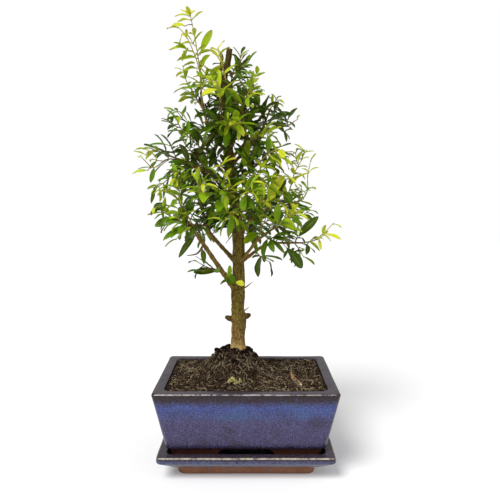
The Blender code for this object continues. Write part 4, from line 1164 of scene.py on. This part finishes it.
def tube_rings(route, radii, sides=4):
    """Plain rings round a route, as the solids have them, for the shapes that hold a place."""
    rings = []
    for i, (point, radius) in enumerate(zip(route, radii)):
        direction = direction_at(route, i)
        across = direction.cross(Vector((0.3, 0.9, 0.2))).normalized()
        rings.append(ring_round(point, radius, direction, across, sides))
    return rings


def surface(rings):
    """A search tree of the shape through the rings, its middle and its reach."""
    points = [point for ring in rings for point in ring]
    faces = []
    first = 0
    for lower, upper in zip(rings, rings[1:]):
        count = len(lower)
        for i in range(count):
            j = (i + 1) % count
            above = [first + count + k % len(upper) for k in (j, i)]
            faces.append([first + i, first + j, above[0]])
            if len(upper) > 1:
                faces.append([first + i, *above])
        first += count
    faces.append(list(reversed(range(len(rings[0])))))
    if len(rings[-1]) > 1:
        faces.append(list(range(first, len(points))))
    middle = sum(points, Vector()) / len(points)
    reach = max((point - middle).length for point in points)
    return BVHTree.FromPolygons(points, faces), middle, reach


class Taken:
    """The space that wood and leaves already take, kept in cells so that a search is quick."""

    CELL = 25 * MM

    def __init__(self):
        self.cells = {}
        self.wood = []
        self.count = 0

    def cells_round(self, middle, reach):
        spans = []
        for axis in range(3):
            low = math.floor((middle[axis] - reach) / self.CELL)
            high = math.floor((middle[axis] + reach) / self.CELL)
            spans.append(range(low, high + 1))
        return [(i, j, k) for i in spans[0] for j in spans[1] for k in spans[2]]

    def add(self, owner, rings):
        shape = (self.count, owner, *surface(rings))
        self.count += 1
        if owner == "wood":
            self.wood.append(shape)
        for cell in self.cells_round(shape[3], shape[4]):
            self.cells.setdefault(cell, []).append(shape)

    def free(self, rings, ignored=()):
        tree, middle, reach = surface(rings)
        seen = set()
        for cell in self.cells_round(middle, reach):
            for number, owner, other, other_middle, other_reach in self.cells.get(cell, []):
                if number in seen or owner in ignored:
                    continue
                seen.add(number)
                if (middle - other_middle).length <= reach + other_reach and tree.overlap(other):
                    return False
        return True

    def outside_wood(self, point):
        """How far the point lies from the nearest wood, or less than nothing inside it."""
        least = math.inf
        for _, _, tree, middle, reach in self.wood:
            if (point - middle).length > reach + least:
                continue
            nearest, normal, _, distance = tree.find_nearest(point)
            least = min(least, distance if (point - nearest).dot(normal) > 0 else -distance)
        return least


def start_clear(route, radius, taken):
    """The route without its stretch inside the wood that it grows from."""
    distance = 0
    clear = False
    while distance < 16 * MM and not clear:
        distance += 0.1 * MM
        point, direction = along(route, distance)
        ring = tube_rings([point, point + direction], [radius, radius])[0]
        clear = all(taken.outside_wood(corner) > CLEARANCE for corner in [point, *ring])
    gone = 0
    kept = [point]
    for start, end in zip(route, route[1:]):
        gone += (end - start).length
        if gone > distance + 2 * MM:
            kept.append(end)
    return kept


def arched(base, direction, normal, length, bend, t):
    """The place at t, from 0 to 1, on an arch that bends down, and the way its upper side faces."""
    ahead = length * math.sin(bend * t) / bend
    down = length * (1 - math.cos(bend * t)) / bend
    centre = base + direction * ahead - normal * down
    return centre, normal * math.cos(bend * t) + direction * math.sin(bend * t)


def blade_rings(base, direction, normal, length, width, droop, sections, extra=0):
    """Three-cornered rings of a leaf that arches down, as a shape that holds a place."""
    side = direction.cross(normal).normalized()
    normal = side.cross(direction).normalized()
    rings = []
    for t, share in sections:
        centre, lifted = arched(base, direction, normal, length, droop, t)
        half = max(share * width / 2, PETIOLE_HALF) + extra
        keel = centre - lifted * (LEAF_THICKNESS + extra)
        centre += lifted * extra
        is_tip = share == 0 and t == 1 and not extra
        rings.append([centre] if is_tip else [centre - side * half, centre + side * half, keel])
    return rings


def outward(direction, turn):
    """Straight out from a stem that runs in the direction, at a turn round it."""
    return Quaternion(direction, turn) @ direction.orthogonal().normalized()


def place_leaf(draw, base, along_twig, turn, length, owner, taken, tries=7):
    """The shape of one leaf, turned until it is clear of all else, or None."""
    out = outward(along_twig, turn)
    width = length * draw.uniform(0.26, 0.34)
    for attempt in range(tries):
        spread = math.radians(draw.uniform(38, 68) + 4 * attempt)
        swing = draw.uniform(-0.25, 0.25) * (1 + attempt / 2)
        direction = along_twig * math.cos(spread) + (Quaternion(along_twig, swing) @ out) * math.sin(spread)
        direction = (direction + UP * draw.uniform(-0.25, 0.3)).normalized()
        roll = draw.uniform(-0.6, 0.6)
        normal = Quaternion(direction, roll) @ (UP - direction * direction.z + 0.1 * out)
        shape = (base, direction, normal, length, width, draw.uniform(0.1, 1.0))
        if taken.free(blade_rings(*shape, PROBE_BLADE, PROBE_MARGIN), (owner,)):
            sections = LONG_BLADE if length > LONG_LEAF else SHORT_BLADE
            taken.add(owner + " leaf", blade_rings(*shape, sections))
            return shape
    return None


def leaves_along(draw, route, full_length, owner, taken):
    """Opposite pairs, each a quarter turn from the last, smaller towards the tip, then a tip leaf.

    Each leaf comes with its place along the shoot, from 0 to 1."""
    leaves = []
    length = route_length(route)
    turn = draw.uniform(0, math.pi)
    distance = PAIR_START
    while distance < length - 4 * MM:
        base, direction = along(route, distance)
        size = full_length * (1 - 0.45 * distance / length) * draw.uniform(0.8, 1.1)
        for side in (0, math.pi):
            shape = place_leaf(draw, base, direction, turn + side, size, owner, taken)
            leaves.append((shape, distance / length))
        turn += math.radians(90) + draw.uniform(-0.3, 0.3)
        distance += PAIR_GAP * draw.uniform(0.85, 1.15)
    tip, direction = along(route, length - 1 * MM)
    leaves.append((place_leaf(draw, tip, direction, turn, 0.6 * full_length, owner, taken), 1.0))
    return [leaf for leaf in leaves if leaf[0]]


def side_shoots(draw, route, taken):
    """Short shoots that leave the main one in turn round it."""
    shoots = []
    length = route_length(route)
    turn = draw.uniform(0, 2 * math.pi)
    distance = FIRST_SHOOT
    while distance < length - LAST_SHOOT:
        base, direction = along(route, distance)
        for _ in range(6):
            turn += GOLDEN_ANGLE
            out = outward(direction, turn)
            reach = draw.uniform(13, 20) * MM
            middle = base + (direction * 0.6 + out * 0.8) * reach / 2
            end = middle + (direction * 0.7 + out * 0.6 + UP * 0.3) * reach / 2
            probe = [base.lerp(middle, 0.5), middle, end]
            if taken.free(tube_rings(probe, [TWIG_START * MM] * 3)):
                shoots.append([base, middle, end])
                break
        distance += SHOOT_GAP * draw.uniform(0.85, 1.15)
    return shoots


# Leaves may stand this far proud of the box that the solids fill.
BOX_MARGIN = 2 * MM
cad_low = [low - BOX_MARGIN for low in cad_box[0]]
cad_high = [high + BOX_MARGIN for high in cad_box[1]]


def inside_box(shape):
    """Whether the tip of the leaf stays inside the box that the solids fill."""
    tip = shape[0] + shape[1] * shape[3]
    return all(low <= place <= high for low, place, high in zip(cad_low, tip, cad_high))


def fill_in(draw, route, full_length, owner, taken):
    """The smaller leaves between the main pairs, wherever there is room for them."""
    leaves = []
    length = route_length(route)
    turn = draw.uniform(0, math.pi)
    distance = 4 * MM
    while distance < length:
        base, direction = along(route, distance)
        size = full_length * (1 - 0.45 * distance / length) * draw.uniform(0.6, 1.1)
        for side in (0, math.pi):
            shape = place_leaf(draw, base, direction, turn + side, size, owner, taken, 4)
            if shape and inside_box(shape):
                leaves.append((shape, distance / length))
        turn += math.radians(90) + draw.uniform(-0.4, 0.4)
        distance += FILL_GAP * draw.uniform(0.8, 1.2)
    return leaves


# The leaf that shows: where its rings stand along it, where their points stand across it, and the
# share of its length that is stalk.
LEAF_SECTIONS = [0, 0.05, 0.09, 0.16, 0.28, 0.42, 0.56, 0.70, 0.82, 0.92, 0.98, 1]
LEAF_ACROSS = [-1, -0.5, 0, 0.5, 1]
LEAF_STALK = 0.07
STALK_HALF = 0.38 * MM
STALK_THICKNESS = 0.6 * MM
BLADE_THICKNESS = 0.34 * MM
RIB_SHARE = 1.9
# What each point of a leaf knows for its finish.
LEAF_VALUES = ("along", "across", "under", "age", "tint")


def add_leaf(build, draw, shape, age):
    """One leaf: a short stalk, a blade folded a little along its rib, with waved edges."""
    base, direction, normal, length, width, droop = shape
    side = direction.cross(normal).normalized()
    normal = side.cross(direction).normalized()
    breadth = width * draw.uniform(0.75, 1.3)
    fold = draw.uniform(0.05, 0.38)
    wave = draw.uniform(0.02, 0.12) * width
    waves = draw.uniform(5, 12)
    phase = draw.uniform(0, 2 * math.pi)
    twist = draw.uniform(-0.5, 0.5)
    hook = draw.uniform(-0.1, 0.25) * length
    fullness = draw.uniform(0.8, 1.3)
    tint = draw.random()
    rings = []
    values = {"along": [], "across": [], "under": []}
    for t in LEAF_SECTIONS:
        centre, lifted = arched(base, direction, normal, length, droop, t)
        turn = Quaternion(direction, twist * t * t)
        across, lifted = turn @ side, turn @ lifted
        centre = centre + side * hook * t * t * 0.3
        blade = max(0, (t - LEAF_STALK) / (1 - LEAF_STALK))
        half = breadth / 2 * math.sin(math.pi * blade ** fullness) ** 0.62 if 0 < blade < 1 else 0
        half = max(half, STALK_HALF * (1 - 0.6 * t))
        thick = BLADE_THICKNESS if half > STALK_HALF else STALK_THICKNESS
        ring = []
        for u in LEAF_ACROSS:
            rise = fold * half * abs(u) + wave * math.sin(waves * t + phase + (1.3 if u > 0 else 0)) * u * u
            ring.append(centre + across * half * u * (1 - fold * fold / 3) + lifted * rise)
        for u in (0.5, 0, -0.5):
            top = ring[LEAF_ACROSS.index(u)]
            ring.append(top - lifted * thick * (RIB_SHARE if u == 0 else 1))
        rings.append(ring)
        values["along"] += [t] * len(ring)
        values["across"] += [abs(u) for u in LEAF_ACROSS] + [0.5, 0, 0.5]
        values["under"] += [0.5, 0, 0, 0, 0.5, 1, 1, 1]
    build.rings(rings, 1, age=age, tint=tint, **values)


leaf_finish = Finish("leaf")
leaf_finish.set("Specular IOR Level", 0.14)
leaf_along, leaf_across, leaf_under, leaf_age, leaf_tint = map(leaf_finish.attribute, LEAF_VALUES)
leaf_mottle = leaf_finish.grain(leaf_finish.place()[0], 6 * MM, 3)
leaf_stops = [
    (0.0, 226, 226, 56), (0.22, 178, 202, 30), (0.48, 98, 148, 6), (0.74, 20, 66, 0), (1.0, 3, 28, 0),
]
leaf_shade = leaf_age + (leaf_tint - 0.5) * 0.4 + (leaf_mottle - 0.5) * 0.2
leaf_bronze = leaf_along.between(0.62, 1.0) * leaf_age.between(0.5, 0.1) * leaf_tint.between(0.35, 0.7)
leaf_inner = leaf_across.between(0.98, 0.6)
leaf_rib = leaf_across.between(0.16, 0.03)
leaf_colour = leaf_finish.over(
    leaf_finish.ramp(leaf_shade, leaf_stops),
    (leaf_bronze * 0.75, linear(168, 104, 52)),
    (leaf_inner * 0.12, linear(176, 186, 60)),
    (leaf_rib * 0.28, linear(166, 172, 50)),
    (leaf_across.between(0.9, 1.0) * 0.12, linear(120, 84, 40)),
    (leaf_under * 0.2, linear(100, 128, 30)),
    (leaf_along.between(0.09, 0.04) * 0.5, linear(150, 104, 50)),
)
leaf_finish.set("Base Color", leaf_colour)
leaf_finish.set("Roughness", 0.16 + 0.16 * leaf_mottle + 0.25 * leaf_under)
leaf_finish.bump(leaf_mottle * 0.3 - leaf_inner * 0.5 - leaf_rib, 0.25 * MM)

twig_finish = Finish("young twig", 0.5)
twig_age = twig_finish.attribute("age")
twig_grain = twig_finish.grain(twig_finish.place()[0], 1.2 * MM, 4, 0.6, (1, 1, 0.3))
twig_stops = [(0.0, 176, 168, 66), (0.35, 150, 126, 54), (0.7, 108, 84, 42), (1.0, 78, 62, 32)]
twig_finish.set("Base Color", twig_finish.ramp(twig_age + (twig_grain - 0.5) * 0.5, twig_stops))
twig_finish.bump(twig_grain, 0.2 * MM)
TWIG_SIDES = 8
TWIG_SWELLING = 0.16


def add_twig(build, route, radii, age_from, age_to):
    """A round shoot with slight swellings along it, and an age that runs from its foot to its tip."""
    fine = smooth_route(route, 2.2 * MM)
    radii = tapering(fine, radii[0], radii[1])
    ages = []
    for i in range(len(fine)):
        share = i / max(1, len(fine) - 1)
        radii[i] *= 1 + (TWIG_SWELLING if i % 4 == 0 else 0)
        ages += [age_from + (age_to - age_from) * share] * TWIG_SIDES
    build.rings(tube(fine, radii, TWIG_SIDES), 0, age=ages)


# The wood holds its place first, then every main twig, and then the leaves of each shoot in turn.
taken = Taken()
wood_parts = []
for points in (TRUNK, LEADER, *STUBS.values()):
    wood_parts.append((millimetres(points), [point[3] * MM for point in points]))
for name, (thick, thin, _) in LIMBS.items():
    wood_parts.append((limb_routes[name], tapering(limb_routes[name], thick, thin)))
for route, radii in wood_parts:
    taken.add("wood", tube_rings(route, [radius + CLEARANCE for radius in radii], 8))
spray_routes = {}
spray_roots = {}
for name, (limb, share, points, _, _) in SPRAYS.items():
    start = along(limb_routes[limb], share * route_length(limb_routes[limb]))[0]
    whole = smooth_route([start, *millimetres(points)], TWIG_STEP)
    spray_routes[name] = start_clear(whole, TWIG_START * MM, taken)
    spray_roots[name] = start
for name, route in spray_routes.items():
    taken.add(name, tube_rings(route, [TWIG_SPACE * MM] * len(route)))
grown = {}
for name, route in spray_routes.items():
    draw = random.Random(name)
    shoots = [(route, tapering(route, TWIG_START, TWIG_TIP))]
    for shoot in side_shoots(draw, route, taken):
        shoots.append((shoot, tapering(shoot, SHOOT_START, TWIG_TIP)))
    for i, (path, radii) in enumerate(shoots):
        if i:
            taken.add(f"{name} {i}", tube_rings(path, [radius + CLEARANCE for radius in radii]))
    full_length = SPRAYS[name][3] * MM
    grown[name] = []
    for i, (path, _) in enumerate(shoots):
        size = SHOOT_SIZE * full_length if i else full_length
        owner = f"{name} {i}" if i else name
        grown[name].append((path, size, owner, leaves_along(draw, path, size, owner, taken)))
for name, shoots in grown.items():
    draw = random.Random(name + " more")
    build = Build(*LEAF_VALUES)
    spray_age = SPRAYS[name][4]
    for i, (path, size, owner, leaves) in enumerate(shoots):
        if name not in SPARSE:
            leaves += fill_in(draw, path, size, owner, taken)
        first = TWIG_START if i == 0 else SHOOT_START
        shown = [spray_roots[name], *path] if i == 0 else path
        add_twig(build, shown, (first * SHOWN_TWIG, TWIG_TIP * SHOWN_TWIG), spray_age + 0.2, spray_age - 0.2)
        for shape, share in leaves:
            age = spray_age + 0.25 * (0.6 - share) + draw.gauss(0, 0.13)
            add_leaf(build, draw, shape, min(1, max(0, age)))
    piece = build.piece("shoot_" + name, [twig_finish, leaf_finish])
    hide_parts("spray_" + name)


# Short spur shoots stand along the limbs and the upper trunk. Their leaves are the oldest:
# broad, dark and glossy, and darker still as painted shade inside the crown. The lowest wood is
# bare, but for the right.
SPUR_START = 14 * MM
SPUR_STEP = 9 * MM
# No spur stands below the lowest height, but for those further right than SPUR_RIGHT, and none
# above the highest. Those above SPUR_HIGH have young, short leaves.
SPUR_LOWEST = 258 * MM
SPUR_HIGHEST = 455 * MM
SPUR_HIGH = 400 * MM
SPUR_RIGHT = 30 * MM
YOUNG_SHARE = 0.6
# The radii of a spur's twig at its foot and its tip, in millimetres, and the room that it takes.
SPUR_TWIG = (0.6, 0.4)
SPUR_SPACE = 0.8 * MM
TRUNK_RADII = (7.0, 3.4)
spur_wood = {name: (limb_routes[name], LIMBS[name][:2]) for name in LIMBS}
spur_wood["trunk"] = (limb_routes["trunk"], TRUNK_RADII)
spur_count = 0
for name, (route, (thick, thin)) in spur_wood.items():
    draw = random.Random(name + " spurs")
    build = Build(*LEAF_VALUES)
    whole = route_length(route)
    distance = SPUR_START
    turn = draw.uniform(0, 2 * math.pi)
    while distance < whole:
        point, direction = along(route, distance)
        wood_radius = (thick + (thin - thick) * distance / whole) * MM
        distance += SPUR_STEP * draw.uniform(0.8, 1.2)
        too_low = point.z < SPUR_LOWEST and point.x < SPUR_RIGHT
        if too_low or point.z > SPUR_HIGHEST:
            continue
        for _ in range(5):
            turn += GOLDEN_ANGLE
            out = outward(direction, turn)
            reach = draw.uniform(6, 20) * MM
            start = point + out * wood_radius * 0.6
            middle = start + (out * 0.9 + direction * 0.4) * reach / 2
            end = middle + (out * 0.6 + direction * 0.5 + UP * 0.35) * reach / 2
            clear_from = start + out * (wood_radius * 0.4 + 1.2 * MM)
            faces_front = name == "trunk" and out.y < -0.5
            if faces_front or not taken.free(tube_rings([clear_from, middle, end], [SPUR_SPACE] * 3)):
                continue
            owner = f"{name} spur {spur_count}"
            spur_count += 1
            path = [start, middle, end]
            taken.add(owner, tube_rings(path, [SPUR_SPACE] * 3))
            add_twig(build, path, SPUR_TWIG, 1.0, 0.7)
            is_young = name == "outer_right" or not SPUR_LOWEST < point.z < SPUR_HIGH
            full_length = draw.uniform(24, 34) * (YOUNG_SHARE if is_young else 1) * MM
            leaf_turn = draw.uniform(0, math.pi)
            for station in [0.45, 0.75, 0.98] if reach > 12 * MM else [0.6, 0.95]:
                base, heading = along(path, station * route_length(path))
                for side in (0, math.pi):
                    size = full_length * draw.uniform(0.7, 1.0)
                    shape = place_leaf(draw, base, heading, leaf_turn + side, size, owner, taken, 5)
                    if shape and inside_box(shape):
                        # The age sets the colour: partly the leaf's real age, partly painted shade inside
                        # the crown. Those at the front are painted lighter.
                        age = draw.uniform(0.65, 1.0) - (0.15 if shape[0].y < -20 * MM else 0)
                        add_leaf(build, draw, shape, age)
                leaf_turn += math.radians(90) + draw.uniform(-0.4, 0.4)
            break
    if build.points:
        piece = build.piece("spurs_" + name, [twig_finish, leaf_finish])


# The largest leaves of all, each where it shows in the crown, on a short twig of its own.
# Each is (base, tip, width), in millimetres, with how far it bends down and its age.
LARGE_LEAVES = [
    ((-53, 18, 466), (-41, 16, 494), 8, 0.3, 0.3), ((-52, 16, 454), (-42, 12, 465), 9, 0.4, 0.25),
    ((-56, 18, 462), (-79, 12, 458), 6, 1.1, 0.2), ((-66, 12, 472), (-87, 6, 468), 6, 0.9, 0.15),
    ((-70, 14, 497), (-85, 10, 495), 6, 0.8, 0.05), ((-64, 14, 509), (-74, 12, 514), 4, 0.6, 0.0),
    ((-64, 14, 508), (-81, 12, 507), 4, 0.9, 0.05), ((-64, 14, 509), (-58, 10, 513), 4, 0.8, 0.0),
    ((-47, -25, 384), (-12, -28, 362), 12, 0.5, 0.85), ((-29, -25, 310), (-8, -30, 293), 10, 0.6, 0.2),
    ((23, -20, 300), (43, -22, 326), 11, 0.4, 0.12), ((-32, -10, 219), (-60, -12, 218), 8, 0.3, 0.95),
    ((45, 10, 246), (65, 8, 220), 10, 0.7, 0.85), ((61, 20, 255), (85, 18, 280), 9, 0.5, 0.6),
    ((93, 33, 259), (114, 31, 252), 6, 1.0, 0.15), ((-86, -35, 295), (-101, -37, 288), 11, 0.3, 0.75),
    ((-71, -35, 281), (-99, -38, 272), 8, 0.4, 0.6), ((-56, -25, 262), (-73, -26, 235), 8, 0.5, 0.7),
    ((-107, -28, 332), (-124, -30, 328), 6, 0.8, 0.2), ((-24, -4, 215), (-13, -7, 204), 9, 0.4, 0.55),
    ((-13, -7, 206), (-2, -9, 203), 7, 0.5, 0.0),
]
# The way their upper sides face, and how close to a twig a leaf needs none of its own.
FACING = Vector((0, -0.8, 0.6))
NEAR_TWIG = 1 * MM
every_route = [route for route, _ in spur_wood.values()]
every_route += [path for shoots in grown.values() for path, _, _, _ in shoots]
large = Build(*LEAF_VALUES)
draw = random.Random("large leaves")
for base, tip, width, bend, age in LARGE_LEAVES:
    base, tip = millimetres([base, tip])
    nearest = None
    for route in every_route:
        for start, end in zip(route, route[1:]):
            stretch = end - start
            share = min(1, max(0, (base - start).dot(stretch) / stretch.length_squared))
            point = start + stretch * share
            if nearest is None or (point - base).length < (nearest - base).length:
                nearest = point
    if (nearest - base).length > NEAR_TWIG:
        middle = nearest.lerp(base, 0.5) + UP * 0.08 * (nearest - base).length
        add_twig(large, [nearest, middle, base], (0.6, 0.45), 0.7, 0.4)
    chord = tip - base
    length = chord.length * bend / (2 * math.sin(bend / 2))
    normal = (FACING - chord * FACING.dot(chord) / chord.length_squared).normalized()
    direction = Quaternion(chord.cross(normal).normalized(), bend / 2) @ chord.normalized()
    add_leaf(large, draw, (base, direction, normal, length, width * MM, bend), age)
large_leaves = large.piece("large_leaves", [twig_finish, leaf_finish])


# One old leaf has dropped on the soil and dried. It is thin and brown, rolled in across its
# width and bent down along its length, so that its stalk stands up into the air.
DRY_LEAF_GAP = 1.2 * MM
DRY_LEAF_CURL = 0.9
DRY_LEAF_WIDTH = 5.6 * MM
DRY_LEAF_ROLL = math.radians(115)
DRY_LEAF_THICKNESS = 0.35 * MM
DRY_LEAF_TURN = 0.9
DRY_LEAF_SWAY = 1.7 * MM
DRY_LEAF_STALK = 0.12
DRY_LEAF_STEPS = 22
DRY_LEAF_ACROSS = 8
dry_stalk = Vector((50.5, -8, 0)) * MM
dry_tip = Vector((60, -40, 0)) * MM
dry_stalk.z = SOIL_EDGE + 14.5 * MM
dry_tip.z = soil_height(dry_tip.x, dry_tip.y) + DRY_LEAF_GAP
dry_chord = dry_tip - dry_stalk
dry_length = dry_chord.length * DRY_LEAF_CURL / (2 * math.sin(DRY_LEAF_CURL / 2))
dry_direction = Quaternion(dry_chord.cross(UP).normalized(), -DRY_LEAF_CURL / 2) @ dry_chord.normalized()
dry_side = dry_direction.cross(UP).normalized()
dry_normal = dry_side.cross(dry_direction).normalized()
dry = Build("along", "across")
dry_rings = []
dry_values = {"along": [], "across": []}
for step in range(DRY_LEAF_STEPS + 1):
    t = step / DRY_LEAF_STEPS
    centre, _ = arched(dry_stalk, dry_direction, dry_normal, dry_length, -DRY_LEAF_CURL, t)
    centre += dry_side * math.sin(6.2 * t - 0.9) * DRY_LEAF_SWAY
    turn = Quaternion(dry_direction, DRY_LEAF_TURN * t)
    across, lifted = turn @ dry_side, turn @ dry_normal
    blade = max(0, (t - DRY_LEAF_STALK) / (1 - DRY_LEAF_STALK))
    uneven = 1 + 0.5 * noise.noise(Vector((t * 7, 0.4, 1.3)))
    full = math.sin(math.pi * min(1, blade ** 1.3 * 0.96)) ** 0.7
    half = max(0.4 * MM, uneven * DRY_LEAF_WIDTH / 2 * full)
    radius = half / DRY_LEAF_ROLL * 1.6
    ring = []
    for inner in (0, 1):
        for k in range(DRY_LEAF_ACROSS + 1):
            u = 2 * (DRY_LEAF_ACROSS - k if inner else k) / DRY_LEAF_ACROSS - 1
            angle = DRY_LEAF_ROLL * u
            rolled = radius - inner * min(DRY_LEAF_THICKNESS, radius / 2)
            edge = 0.25 * MM * noise.noise(Vector((t * 9, u * 2, 0.3)))
            sideways = across * (rolled + edge) * math.sin(angle)
            ring.append(centre + sideways - lifted * rolled * math.cos(angle))
            dry_values["across"].append(abs(u))
    dry_rings.append(ring)
    dry_values["along"] += [t] * len(ring)
dry.rings(dry_rings, **dry_values)
dry_finish = Finish("dry leaf", 0.75)
dry_along = dry_finish.attribute("along")
dry_across = dry_finish.attribute("across")
dry_mottle = dry_finish.grain(dry_finish.place()[0], 3 * MM, 4, 0.65)
dry_colour = dry_finish.over(
    dry_finish.mix(dry_mottle.between(0.3, 0.7), linear(84, 54, 32), linear(196, 156, 110)),
    (dry_along.between(0.6, 0.8) * 0.85, linear(236, 216, 182)),
    (dry_across.between(0.15, 0.03) * 0.5, linear(84, 56, 34)),
)
dry_finish.set("Base Color", dry_colour)
dry_finish.bump(dry_mottle, 0.3 * MM)
dry_leaf = dry.piece("dry_leaf", [dry_finish])
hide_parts("fallen_leaf")


# A little pale moss grows on the soil in front of the trunk, in tufts of short upright stems.
# Each tuft is (x, y, half its width), in millimetres.
MOSS_TUFTS = [
    (-18.5, -36, 2.2), (-15.5, -33.5, 2.4), (-12.5, -36.5, 2.2), (-9, -37.5, 2.4), (-6.5, -34.5, 1.8),
]
MOSS_STEMS = 55
moss = Build("tone")
draw = random.Random("moss")
for tuft_x, tuft_y, half in MOSS_TUFTS:
    for _ in range(MOSS_STEMS):
        around = draw.uniform(0, 2 * math.pi)
        reach = math.sqrt(draw.random())
        x = (tuft_x + half * reach * math.cos(around)) * MM
        y = (tuft_y + half * reach * math.sin(around)) * MM
        foot = Vector((x, y, soil_height(x, y) - 0.4 * MM))
        lean = Vector((draw.gauss(0, 0.4), draw.gauss(0, 0.4), 1)).normalized()
        tall = draw.uniform(1.0, 2.6) * MM * (1.2 - 0.6 * reach)
        stem = [foot, foot + lean * tall * 0.6, foot + lean * tall]
        moss.rings(tube(stem, [0.28 * MM, 0.36 * MM, 0.05 * MM], 4), tone=draw.random())
moss_finish = Finish("moss", 0.8)
moss_tone = moss_finish.attribute("tone")
moss_grain = moss_finish.grain(moss_finish.place()[0], 0.7 * MM)
moss_shade = moss_tone * 0.7 + moss_grain * 0.3
moss_finish.set("Base Color", moss_finish.mix(moss_shade, linear(150, 140, 76), linear(240, 228, 158)))
moss_finish.bump(moss_grain, 0.2 * MM)
moss_piece = moss.piece("moss_cushion", [moss_finish])
